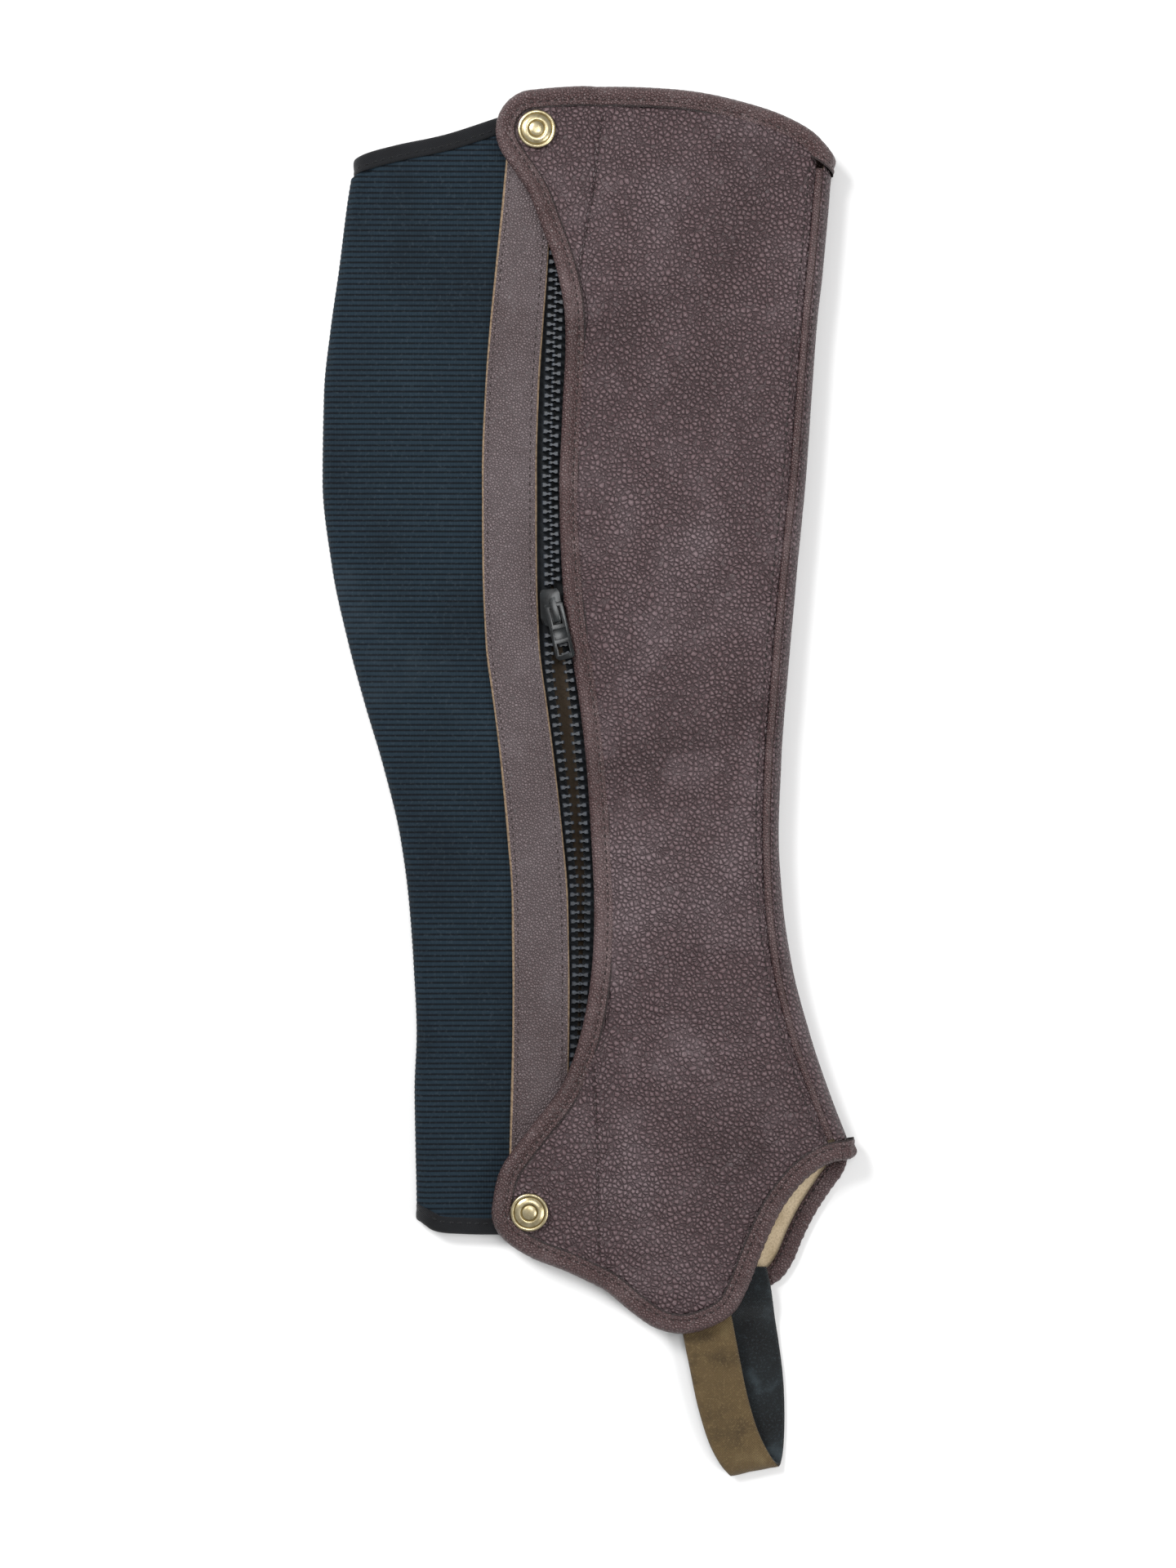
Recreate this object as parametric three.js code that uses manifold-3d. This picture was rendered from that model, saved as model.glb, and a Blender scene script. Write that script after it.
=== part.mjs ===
// Half chap (gaiter for the lower leg), laid flat on a surface with its outer side up.
// Millimetres. +Y runs up the leg, +X towards the shin, +Z up. The origin is the centre of the base.
import * as THREE from "three";
import { mergeVertices } from "three/addons/utils/BufferGeometryUtils.js";
import Module from "manifold-3d";

const wasm = await Module();
wasm.setup();

// ---------- driving dimensions ----------
const LEATHER = 1.8; // wall of both leather panels and of the zip strip
const ELASTIC = 1.6; // wall of the ribbed elastic
const BINDING_W = 6.0; // width of the rolled binding
const BINDING_T = 3.0; // its height over the panel edge
const ELASTIC_BIND_W = 5.6; // width of the bound edge of the elastic
const ELASTIC_BIND_T = 2.2;
const SEAM = 0.3; // gap between pieces
const FRONT_H = 11.5; // height of the rounded front fold over the surface
const BACK_H = 5.6; // height of the fold of the elastic at the back
const TAB_LEVEL = 8.5; // underside of the outer panel over the zip strip
const FLAP_LEVEL = 6.3; // underside of the outer panel beside the zip
const TAPE_Z = 4.4; // underside of the zip tape
const TAPE_T = 1.0;
const TEETH_T = 1.6; // height of the teeth over the tape
const TEETH_W = 2.8; // width of one row of teeth
const STRIP_Z_BACK = 5.3; // underside of the zip strip over the elastic
const STRIP_Z_ZIP = 5.8; // underside of the zip strip at the zip
const CAP_R = 6.5; // press-stud cap
const CAP_H = 1.8;
const SNAP_TOP = { x: -17.6, y: 222.6 };
const SNAP_BOTTOM = { x: -20.1, y: -145.9 };
const TAB_R_TOP = 13.5;
const TAB_R_BOTTOM = 13.0;
const STRAP_T = 1.6;
const CENTRE = { x: -0.16, y: -0.2 }; // middle of the outline, moved to the origin

// ---------- sections of the leg, from the knee down to the foot ----------
// back: fold of the elastic; rib: edge of the zip strip on the elastic; strip: its edge at the zip;
// zip: middle of the zip; welt: ridge of the front seam; front: rounded front edge.
const LEG = [
  { y: 240, back: -77.0, rib: -25.6, strip: -11.0, zip: -8.0, welt: 80.0, front: 85.0 },
  { y: 222, back: -79.0, rib: -27.4, strip: -11.3, zip: -8.6, welt: 79.5, front: 84.2 },
  { y: 199, back: -82.7, rib: -29.4, strip: -12.5, zip: -9.8, welt: 77.7, front: 82.3 },
  { y: 176, back: -85.6, rib: -31.8, strip: -13.9, zip: -10.8, welt: 75.7, front: 80.2 },
  { y: 157, back: -88.3, rib: -33.7, strip: -15.4, zip: -11.3, welt: 73.8, front: 78.2 },
  { y: 134, back: -90.7, rib: -35.5, strip: -17.0, zip: -12.3, welt: 72.0, front: 76.5 },
  { y: 104, back: -91.2, rib: -36.5, strip: -17.7, zip: -13.1, welt: 69.7, front: 74.4 },
  { y: 74, back: -87.9, rib: -36.3, strip: -17.6, zip: -12.5, welt: 66.6, front: 71.4 },
  { y: 50, back: -82.8, rib: -35.4, strip: -16.9, zip: -11.4, welt: 64.5, front: 69.3 },
  { y: 28, back: -76.9, rib: -32.7, strip: -14.3, zip: -9.2, welt: 62.8, front: 67.4 },
  { y: 5, back: -70.1, rib: -29.9, strip: -11.3, zip: -6.3, welt: 61.1, front: 65.8 },
  { y: -18, back: -64.6, rib: -27.7, strip: -8.7, zip: -3.9, welt: 60.5, front: 65.1 },
  { y: -40, back: -61.6, rib: -26.3, strip: -7.0, zip: -2.4, welt: 61.3, front: 66.4 },
  { y: -63, back: -59.9, rib: -26.0, strip: -6.5, zip: -2.4, welt: 64.0, front: 69.8 },
  { y: -86, back: -58.9, rib: -26.1, strip: -6.6, zip: -3.0, welt: 69.4, front: 75.8 },
  { y: -105, back: -59.6, rib: -26.4, strip: -6.8, zip: -4.4, welt: 76.0, front: 82.2 },
  { y: -124, back: -59.3, rib: -27.0, strip: -7.2, zip: -5.7, welt: 83.3, front: 89.4 },
  { y: -143, back: -58.9, rib: -27.3, strip: -7.6, zip: -6.8, welt: 89.5, front: 96.0 },
  { y: -190, back: -58.4, rib: -28.0, strip: -8.0, zip: -9.0, welt: 104.0, front: 112.0 },
];

// The two rows of teeth: closed above the slider, open below it.
const TEETH = [
  { y: 215, back: -10.3, front: -7.5 },
  { y: 176, back: -12.2, front: -9.4 },
  { y: 134, back: -13.7, front: -10.9 },
  { y: 104, back: -14.5, front: -11.7 },
  { y: 74, back: -13.9, front: -11.1 },
  { y: 60, back: -13.6, front: -10.6 },
  { y: 52, back: -13.7, front: -9.3 },
  { y: 41, back: -13.5, front: -6.9 },
  { y: 26, back: -11.8, front: -5.1 },
  { y: 11, back: -9.7, front: -3.6 },
  { y: -4, back: -7.8, front: -2.3 },
  { y: -20, back: -6.3, front: -1.1 },
  { y: -35, back: -5.1, front: -0.4 },
  { y: -50, back: -4.6, front: -0.6 },
  { y: -65, back: -4.3, front: -1.3 },
  { y: -92, back: -4.9, front: -2.0 },
  { y: -112, back: -5.6, front: -2.7 },
];

// Edge of the flap along the zip.
const FLAP = [
  { x: -20.5, y: 201.5 },
  { x: -16.0, y: 190.0 },
  { x: -11.4, y: 177.0 },
  { x: -8.4, y: 163.0 },
  { x: -7.9, y: 149.5 },
  { x: -9.0, y: 126.7 },
  { x: -10.0, y: 100.0 },
  { x: -9.2, y: 75.0 },
  { x: -7.6, y: 55.0 },
  { x: -4.9, y: 39.3 },
  { x: -2.4, y: 22.2 },
  { x: -0.4, y: 1.3 },
  { x: 1.0, y: -20.0 },
  { x: 1.9, y: -41.6 },
  { x: 0.9, y: -65.2 },
  { x: -2.9, y: -86.0 },
  { x: -9.5, y: -103.5 },
  { x: -20.0, y: -117.5 },
  { x: -30.0, y: -131.5 },
];

// Lower edge of the outer panel, from the lower tab round the heel and up the boot opening to the front tip.
const HEM = [
  { x: -19.4, y: -161.7 },
  { x: -7.0, y: -166.6 },
  { x: 5.3, y: -172.9 },
  { x: 15.0, y: -180.7 },
  { x: 23.0, y: -185.9 },
  { x: 32.0, y: -187.7 },
  { x: 41.4, y: -185.4 },
  { x: 49.5, y: -180.4 },
  { x: 54.3, y: -172.0 },
  { x: 57.6, y: -163.5 },
  { x: 61.5, y: -154.0 },
  { x: 67.0, y: -143.3 },
  { x: 74.0, y: -134.8 },
  { x: 82.0, y: -129.4 },
  { x: 90.4, y: -127.9 },
  { x: 125.0, y: -126.0 },
];

// Upper edge of the outer panel, from beyond the front fold to the upper tab.
const TOP = [
  { x: 122.0, y: 180.0 },
  { x: 92.0, y: 206.5 },
  { x: 82.5, y: 215.6 },
  { x: 76.5, y: 221.8 },
  { x: 66.0, y: 227.6 },
  { x: 50.0, y: 232.8 },
  { x: 33.0, y: 236.2 },
  { x: 15.0, y: 237.5 },
  { x: -4.0, y: 237.6 },
];

// Upper edge of the inner panel behind it, and of the elastic.
const TOP_INNER = [
  { x: 122.0, y: 180.0 },
  { x: 92.0, y: 206.5 },
  { x: 82.5, y: 215.6 },
  { x: 76.5, y: 221.6 },
  { x: 66.0, y: 227.1 },
  { x: 50.0, y: 232.2 },
  { x: 33.0, y: 235.4 },
  { x: 15.0, y: 236.6 },
  { x: -5.0, y: 235.4 },
  { x: -27.0, y: 230.0 },
  { x: -60.0, y: 219.0 },
];
const TOP_ELASTIC = [
  { x: -5.0, y: 236.0 },
  { x: -29.3, y: 228.7 },
  { x: -49.4, y: 222.2 },
  { x: -66.0, y: 218.6 },
  { x: -78.0, y: 215.0 },
  { x: -95.0, y: 205.0 },
];
const BOTTOM_ELASTIC = [
  { x: -75.0, y: -147.0 },
  { x: -58.5, y: -149.8 },
  { x: -53.0, y: -153.2 },
  { x: -42.0, y: -154.4 },
  { x: -10.0, y: -154.4 },
];

// Lower edge of the inner panel, from the elastic to the front tip.
const HEM_INNER = [
  { x: -60.0, y: -154.2 },
  { x: -26.0, y: -154.4 },
  { x: 3.4, y: -158.8 },
  { x: 26.2, y: -165.6 },
  { x: 41.4, y: -171.4 },
  { x: 50.0, y: -174.0 },
  { x: 58.5, y: -173.8 },
  { x: 65.5, y: -170.8 },
  { x: 70.0, y: -164.8 },
  { x: 73.6, y: -156.5 },
  { x: 78.0, y: -147.8 },
  { x: 84.0, y: -138.6 },
  { x: 89.2, y: -131.6 },
  { x: 90.6, y: -128.2 },
  { x: 125.0, y: -126.5 },
];

// Foot strap: edge points and height of the middle of the band at each row, from its hidden upper end,
// down the near run, round the fold and back up the far run.
const STRAP = [
  { lx: 28.6, ly: -169.0, rx: 45.2, ry: -165.0, z: 6.3 },
  { lx: 30.4, ly: -178.0, rx: 47.2, ry: -173.8, z: 6.3 },
  { lx: 32.0, ly: -187.0, rx: 49.0, ry: -182.6, z: 6.2 },
  { lx: 34.4, ly: -199.0, rx: 51.4, ry: -195.0, z: 5.7 },
  { lx: 37.6, ly: -214.0, rx: 54.4, ry: -209.6, z: 5.2 },
  { lx: 41.6, ly: -226.6, rx: 58.0, ry: -221.6, z: 4.8 },
  { lx: 45.4, ly: -233.6, rx: 61.6, ry: -229.2, z: 4.4 },
  { lx: 47.8, ly: -236.4, rx: 64.0, ry: -232.8, z: 3.7 },
  { lx: 48.8, ly: -237.3, rx: 65.4, ry: -234.2, z: 2.6 },
  { lx: 49.6, ly: -236.2, rx: 66.2, ry: -233.2, z: 1.5 },
  { lx: 50.2, ly: -233.0, rx: 66.8, ry: -230.4, z: 0.9 },
  { lx: 50.6, ly: -222.0, rx: 67.4, ry: -220.4, z: 0.8 },
  { lx: 50.2, ly: -206.0, rx: 67.0, ry: -205.4, z: 0.8 },
  { lx: 48.8, ly: -192.0, rx: 65.4, ry: -192.0, z: 0.8 },
  { lx: 47.8, ly: -184.5, rx: 64.2, ry: -184.5, z: 1.6 },
  { lx: 47.0, ly: -178.5, rx: 63.3, ry: -178.3, z: 3.6 },
  { lx: 46.2, ly: -172.0, rx: 62.4, ry: -172.0, z: 4.0 },
  { lx: 45.4, ly: -165.4, rx: 61.0, ry: -165.8, z: 4.0 },
];

// Slider and pull tab
const SLIDER = { x: -12.7, y: 60.0, half: 3.7, length: 12.6, turn: 0.1, low: 2.7, lowTop: 4.1, high: 7.6, highTop: 8.9, post: 0.8, postX: 0.45 };
const PIVOT = { x: -11.9, y: 60.6, z: 10.2, turn: 0.23 };
const BAIL = { w: 2.0, from: -2.6, leg: 1.2, to: 5.8, top: 12.7, bar: 1.2 };
const PULL = { w: 6.5, t: 1.4, bar: 0.8, window: 3.2, windowEnd: 6.6, holeFrom: 13.2, holeTo: 17.0, holeW: 3.8, end: 18.8, recess: 0.4, recessFrom: 8.2, recessTo: 11.8 };

// ---------- helpers ----------
// Value of one column of a table at y, through its rows, with no overshoot between them.
function at(table, column, y) {
  const rows = table[0].y > table[table.length - 1].y ? [...table].reverse() : table;
  const n = rows.length;
  if (y <= rows[0].y) return rows[0][column];
  if (y >= rows[n - 1].y) return rows[n - 1][column];
  let i = 0;
  while (rows[i + 1].y < y) i++;
  const step = (k) => (rows[k + 1][column] - rows[k][column]) / (rows[k + 1].y - rows[k].y);
  const slope = (k) => (k <= 0 ? step(0) : k >= n - 1 ? step(n - 2) : step(k - 1) * step(k) <= 0 ? 0 : (2 * step(k - 1) * step(k)) / (step(k - 1) + step(k)));
  const h = rows[i + 1].y - rows[i].y;
  const u = (y - rows[i].y) / h;
  return (
    (2 * u ** 3 - 3 * u * u + 1) * rows[i][column] +
    (u ** 3 - 2 * u * u + u) * h * slope(i) +
    (-2 * u ** 3 + 3 * u * u) * rows[i + 1][column] +
    (u ** 3 - u * u) * h * slope(i + 1)
  );
}
const ease = (u) => {
  const c = Math.min(1, Math.max(0, u));
  return c * c * (3 - 2 * c);
};

function solid(geometry) {
  const g = geometry.clone();
  g.deleteAttribute("normal");
  g.deleteAttribute("uv");
  const m = mergeVertices(g, 1e-4);
  return new wasm.Manifold(new wasm.Mesh({ numProp: 3, vertProperties: m.attributes.position.array, triVerts: new Uint32Array(m.index.array) }));
}
function geometryOf(body) {
  const mesh = body.getMesh();
  const n = mesh.numProp;
  const position = new Float32Array(mesh.numVert * 3);
  for (let i = 0; i < mesh.numVert; i++) position.set(mesh.vertProperties.subarray(i * n, i * n + 3), i * 3);
  const g = new THREE.BufferGeometry();
  g.setAttribute("position", new THREE.BufferAttribute(position, 3));
  g.setIndex(new THREE.BufferAttribute(new Uint32Array(mesh.triVerts), 1));
  g.computeVertexNormals();
  return g;
}
// Largest body of a cut.
function main(body) {
  return body.decompose().sort((a, b) => b.volume() - a.volume())[0];
}

// A closed wall between two grids of points of the same size.
function wall(outer, inner) {
  const rows = outer.length;
  const cols = outer[0].length;
  const points = [...outer.flat(), ...inner.flat()];
  const a = (i, j) => i * cols + j;
  const b = (i, j) => rows * cols + i * cols + j;
  const faces = [];
  const quad = (p, q, r, s) => faces.push([p, q, r], [p, r, s]);
  for (let i = 0; i < rows - 1; i++)
    for (let j = 0; j < cols - 1; j++) {
      quad(a(i, j), a(i + 1, j), a(i + 1, j + 1), a(i, j + 1));
      quad(b(i, j), b(i, j + 1), b(i + 1, j + 1), b(i + 1, j));
    }
  for (let i = 0; i < rows - 1; i++) {
    quad(a(i + 1, 0), a(i, 0), b(i, 0), b(i + 1, 0));
    quad(a(i, cols - 1), a(i + 1, cols - 1), b(i + 1, cols - 1), b(i, cols - 1));
  }
  for (let j = 0; j < cols - 1; j++) {
    quad(a(0, j), a(0, j + 1), b(0, j + 1), b(0, j));
    quad(a(rows - 1, j + 1), a(rows - 1, j), b(rows - 1, j), b(rows - 1, j + 1));
  }
  const volume = faces.reduce((sum, [p, q, r]) => sum + points[p].dot(new THREE.Vector3().crossVectors(points[q], points[r])), 0);
  if (volume < 0) faces.forEach((f) => f.reverse());
  const g = new THREE.BufferGeometry();
  g.setAttribute("position", new THREE.BufferAttribute(new Float32Array(points.flatMap((p) => [p.x, p.y, p.z])), 3));
  g.setIndex(faces.flat());
  return g;
}

// A wall that follows a line of points in each section, thickened on one side of it.
function sections(ys, line, thickness) {
  const outer = ys.map((y) => line(y).map((p) => new THREE.Vector3(p.x, y, p.z)));
  const inner = outer.map((row) =>
    row.map((p, k) => {
      const q = row[Math.max(0, k - 1)];
      const r = row[Math.min(row.length - 1, k + 1)];
      const tx = r.x - q.x;
      const tz = r.z - q.z;
      const l = Math.hypot(tx, tz);
      return new THREE.Vector3(p.x + (-tz / l) * thickness, p.y, p.z + (tx / l) * thickness);
    }),
  );
  return solid(wall(outer, inner));
}

// A slab between two heights over a grid.
function slab(low, high, x0, x1, nx, y0, y1, ny) {
  const grid = (f) => Array.from({ length: ny + 1 }, (_, i) => Array.from({ length: nx + 1 }, (_, j) => {
    const x = x0 + ((x1 - x0) * j) / nx;
    const y = y0 + ((y1 - y0) * i) / ny;
    return new THREE.Vector3(x, y, f(x, y));
  }));
  return solid(wall(grid(high), grid(low)));
}

function prism(outline, z0, z1) {
  const points = THREE.ShapeUtils.area(outline) < 0 ? [...outline].reverse() : outline;
  const g = new THREE.ExtrudeGeometry(new THREE.Shape(points), { depth: z1 - z0, bevelEnabled: false });
  g.translate(0, 0, z0);
  return solid(g);
}
const smooth = (rows, step) => {
  const curve = new THREE.CatmullRomCurve3(rows.map((p) => new THREE.Vector3(p.x, p.y, 0)), false, "centripetal");
  const n = Math.max(2, Math.round(curve.getLength() / step));
  return curve.getSpacedPoints(n).map((p) => new THREE.Vector2(p.x, p.y));
};
// The same line moved to its left.
function offset(line, d) {
  return line.map((p, i) => {
    const q = line[Math.max(0, i - 1)];
    const r = line[Math.min(line.length - 1, i + 1)];
    const t = new THREE.Vector2(r.x - q.x, r.y - q.y).normalize();
    return new THREE.Vector2(p.x - t.y * d, p.y + t.x * d);
  });
}
const arc = (centre, radius, from, to, n) =>
  Array.from({ length: n + 1 }, (_, i) => {
    const a = THREE.MathUtils.degToRad(from + ((to - from) * i) / n);
    return { x: centre.x + radius * Math.cos(a), y: centre.y + radius * Math.sin(a) };
  });
const V2 = (x, y) => new THREE.Vector2(x, y);
const column = (name, dx, y0, y1, n) => Array.from({ length: n + 1 }, (_, i) => {
  const y = y0 + ((y1 - y0) * i) / n;
  return V2(at(LEG, name, y) + dx, y);
});
const spaced = (y0, y1, n) => Array.from({ length: n + 1 }, (_, i) => y0 + ((y1 - y0) * i) / n);

// ---------- heights ----------
const flapAt = (y) => at(FLAP, "x", y);
// Underside of the outer panel: low beside the zip, up over the zip strip at both tabs, and highest at the shin.
function under(x, y) {
  const flap = y > 176 ? -11 : y < -80 ? -4 : flapAt(y);
  const u = Math.min(1, Math.max(0, (x - flap) / (at(LEG, "welt", y) - 2 - flap)));
  const base = FLAP_LEVEL + (FRONT_H - LEATHER - FLAP_LEVEL) * Math.sin((u * Math.PI) / 2);
  const reach = 9 * Math.max(ease((y - 135) / 35), ease((-55 - y) / 30));
  const over = 1 - ease((x - at(LEG, "strip", y) - reach) / 9);
  return Math.max(base, FLAP_LEVEL + (TAB_LEVEL - FLAP_LEVEL) * over);
}

// ---------- outlines ----------
const outerEdge = smooth(
  [...TOP, ...arc(SNAP_TOP, TAB_R_TOP + 0.6, 88, 205, 5), ...FLAP, ...arc(SNAP_BOTTOM, TAB_R_BOTTOM, 165, 235, 3), ...HEM],
  6.5,
);
const closeRight = (line) => [...line, V2(140, line[line.length - 1].y), V2(140, line[0].y)];
const outerWhole = closeRight(outerEdge);
const outerInside = closeRight(offset(outerEdge, BINDING_W + SEAM));
const outerBand = closeRight(offset(outerEdge, BINDING_W));
const leftOfWelt = [...column("welt", -1.8, -200, 250, 45), V2(-60, 250), V2(-60, -200)];
const rightOfWelt = [...column("welt", 1.6, -200, 250, 45), V2(140, 250), V2(140, -200)];

const topInner = smooth(TOP_INNER, 9);
const hemInner = smooth(HEM_INNER, 7);
const innerRegion = (top, hem) => [...top, ...hem];
const leftMedial = [...column("rib", 0, -200, 250, 14), V2(150, 250), V2(150, -200)];

// ---------- leather and elastic ----------
const yAll = spaced(-178, 242, 34);

// Section of the inner panel: from the front seam over the rounded front and back along the surface.
function innerLine(y) {
  const welt = at(LEG, "welt", y) + 1.0;
  const front = at(LEG, "front", y);
  const rib = at(LEG, "rib", y) - 6;
  const a = front - welt;
  const points = [];
  for (let k = 0; k <= 5; k++) {
    const w = (k / 5) * (Math.PI / 2);
    points.push({ x: welt + a * Math.sin(w), z: FRONT_H / 2 + (FRONT_H / 2) * Math.cos(w) });
  }
  for (let k = 1; k <= 4; k++) {
    const w = (k / 4) * (Math.PI / 2);
    points.push({ x: front - 6.5 + 6.5 * Math.cos(w), z: FRONT_H / 2 - (FRONT_H / 2) * Math.sin(w) });
  }
  for (let k = 1; k <= 2; k++) points.push({ x: front - 6.5 + ((rib - front + 6.5) * k) / 2, z: 0 });
  return points.reverse();
}
const innerSolid = (t) => sections(yAll, innerLine, t);
const MID = FRONT_H / 2;
const lowBox = (outline) => prism(outline, -2, MID);
const highBox = (outline) => prism(outline, MID, 30);

const innerLow = lowBox(innerRegion(offset(topInner, BINDING_W + SEAM), offset(hemInner, BINDING_W + SEAM)));
const innerHigh = highBox(outerInside).intersect(prism(rightOfWelt, MID, 30));
const innerPanel = main(innerSolid(LEATHER).intersect(innerLow.add(innerHigh)).intersect(prism(leftMedial, -5, 40)));

const bandTopLow = lowBox([...topInner, ...offset(topInner, BINDING_W).reverse()]);
const keepTop = prism([V2(-60, 150), V2(150, 150), V2(150, 260), V2(-60, 260)], -5, 40);
const bandHigh = highBox(outerWhole).subtract(highBox(outerBand)).intersect(prism(rightOfWelt, MID, 30));
const bindingInnerTop = main(
  innerSolid(BINDING_T)
    .intersect(bandTopLow.add(bandHigh.intersect(keepTop)))
    .intersect(prism(leftMedial, -5, 40)),
);
const bandHemLow = lowBox([...hemInner, ...offset(hemInner, BINDING_W).reverse()]);
const bindingInnerBottom = main(
  innerSolid(BINDING_T)
    .intersect(bandHemLow.add(bandHigh.subtract(keepTop)))
    .intersect(prism(leftMedial, -5, 40)),
);

const GX0 = -36;
const GX1 = 108;
const outerSlab = (low, t) => slab((x, y) => under(x, y) + low, (x, y) => under(x, y) + low + t, GX0, GX1, 16, -194, 244, 40);
const outerPanel = main(outerSlab(0, LEATHER).intersect(prism(outerInside, -5, 40)).intersect(prism(leftOfWelt, -5, 40)));
const bindingOuter = main(
  outerSlab(-0.6, BINDING_T)
    .intersect(prism(outerWhole, -5, 40).subtract(prism(outerBand, -5, 40)))
    .intersect(prism([...column("welt", 1.3, -200, 250, 45), V2(-60, 250), V2(-60, -200)], -5, 40)),
);

// Piping ridge between the two panels.
function weltSolid() {
  const ring = (y) => {
    const x = at(LEG, "welt", y);
    return [
      [-1.3, -2.2],
      [1.2, -2.2],
      [1.2, -0.3],
      [0.6, 0.6],
      [-0.7, 0.6],
      [-1.3, -0.3],
    ].map(([dx, dz]) => new THREE.Vector3(x + dx, y, FRONT_H + dz));
  };
  const ys = spaced(-119.5, 208, 22);
  const rows = ys.map(ring);
  const n = 6;
  const points = rows.flat();
  const faces = [];
  for (let i = 0; i < rows.length - 1; i++)
    for (let k = 0; k < n; k++) {
      const p = i * n + k;
      const q = i * n + ((k + 1) % n);
      faces.push([p, q, q + n], [p, q + n, p + n]);
    }
  const last = (rows.length - 1) * n;
  for (let k = 1; k < n - 1; k++) faces.push([0, k + 1, k], [last, last + k, last + k + 1]);
  const volume = faces.reduce((sum, [p, q, r]) => sum + points[p].dot(new THREE.Vector3().crossVectors(points[q], points[r])), 0);
  if (volume < 0) faces.forEach((f) => f.reverse());
  const g = new THREE.BufferGeometry();
  g.setAttribute("position", new THREE.BufferAttribute(new Float32Array(points.flatMap((p) => [p.x, p.y, p.z])), 3));
  g.setIndex(faces.flat());
  return g;
}

// Elastic: U section, folded at the back.
function elasticLine(y) {
  const back = at(LEG, "back", y);
  const rib = at(LEG, "rib", y);
  const a = 4.2;
  const points = [{ x: rib - SEAM, z: 0 }, { x: (rib + back) / 2, z: 0 }];
  for (let k = 0; k <= 8; k++) {
    const w = (k / 8) * Math.PI;
    points.push({ x: back + a - a * Math.sin(w), z: BACK_H / 2 - (BACK_H / 2) * Math.cos(w) });
  }
  points.push({ x: (rib + back) / 2, z: BACK_H - 0.3 }, { x: rib + 4, z: BACK_H - 0.6 });
  return points;
}
const elasticSolid = (t) => {
  const outer = yAll.map((y) => elasticLine(y).map((p) => new THREE.Vector3(p.x, y, p.z)));
  const inner = outer.map((row) => row.map((p, k) => {
    const q = row[Math.max(0, k - 1)];
    const r = row[Math.min(row.length - 1, k + 1)];
    const l = Math.hypot(r.x - q.x, r.z - q.z);
    return new THREE.Vector3(p.x + ((r.z - q.z) / l) * t, p.y, p.z - ((r.x - q.x) / l) * t);
  }));
  return solid(wall(outer, inner));
};
const topElastic = smooth(TOP_ELASTIC, 8);
const bottomElastic = smooth(BOTTOM_ELASTIC, 8);
const elasticPanel = main(
  elasticSolid(ELASTIC).intersect(prism([...offset(topElastic, ELASTIC_BIND_W + SEAM), V2(-120, 190), V2(-120, -140), ...offset(bottomElastic, ELASTIC_BIND_W + SEAM)], -5, 40)),
);
const leftOfRib = prism([...column("rib", -0.3, -200, 250, 14), V2(-120, 250), V2(-120, -200)], -5, 40);
const elasticTop = main(elasticSolid(ELASTIC_BIND_T).intersect(prism([...topElastic, ...offset(topElastic, ELASTIC_BIND_W).reverse()], -5, 40)).intersect(leftOfRib));
const elasticBottom = main(elasticSolid(ELASTIC_BIND_T).intersect(prism([...bottomElastic, ...offset(bottomElastic, ELASTIC_BIND_W).reverse()], -5, 40)).intersect(leftOfRib));

// ---------- zip ----------
// A flat band between two columns of points.
function band(y0, y1, n, left, right, zLeft, zRight, t) {
  const grid = (dz) => spaced(y0, y1, n).map((y) => [0, 1].map((u) => new THREE.Vector3(u ? right(y) : left(y), y, (u ? zRight : zLeft) + dz)));
  return wall(grid(t), grid(0));
}
const TEETH_Z = TAPE_Z + TAPE_T + SEAM;
const zipStrip = band(-148, 224, 26, (y) => at(LEG, "rib", y), (y) => at(LEG, "strip", y), STRIP_Z_BACK, STRIP_Z_ZIP, LEATHER);
const tapeBack = band(-140, 218, 30, (y) => at(LEG, "strip", y) - 7, (y) => at(TEETH, "back", y) + 0.9, TAPE_Z, TAPE_Z, TAPE_T);
const tapeFront = band(-140, 218, 30, (y) => at(TEETH, "front", y) - 0.9, (y) => at(TEETH, "front", y) + 13, TAPE_Z, TAPE_Z, TAPE_T);
const chain = band(67.5, 193, 13, (y) => at(TEETH, "back", y) - TEETH_W / 2, (y) => at(TEETH, "front", y) + TEETH_W / 2, TEETH_Z, TEETH_Z, TEETH_T);
const rowBack = band(-104, 66.8, 18, (y) => at(TEETH, "back", y) - TEETH_W / 2, (y) => at(TEETH, "back", y) + TEETH_W / 2 - 0.2, TEETH_Z, TEETH_Z, TEETH_T);
const rowFront = band(-104, 66.8, 18, (y) => at(TEETH, "front", y) - TEETH_W / 2 + 0.2, (y) => at(TEETH, "front", y) + TEETH_W / 2, TEETH_Z, TEETH_Z, TEETH_T);

// Slider: two plates held apart by a post between the open rows, with a bail on top for the pull.
function box(x0, x1, y0, y1, z0, z1) {
  const g = new THREE.BoxGeometry(x1 - x0, y1 - y0, z1 - z0);
  g.translate((x0 + x1) / 2, (y0 + y1) / 2, (z0 + z1) / 2);
  return solid(g);
}
function place(body, at2, turn) {
  const g = geometryOf(body);
  g.rotateZ(turn);
  g.translate(at2.x, at2.y, 0);
  return solid(g);
}
const plate = (z0, z1) => {
  const h = SLIDER.half;
  const l = SLIDER.length / 2;
  return prism([V2(-h + 1.2, l), V2(h - 1.2, l), V2(h - 0.4, l - 1.4), V2(h, -l + 3.6), V2(h - 1, -l + 0.5), V2(h - 2, -l), V2(-h + 2, -l), V2(-h + 1, -l + 0.5), V2(-h, -l + 3.6), V2(-h + 0.4, l - 1.4)], z0, z1);
};
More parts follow.
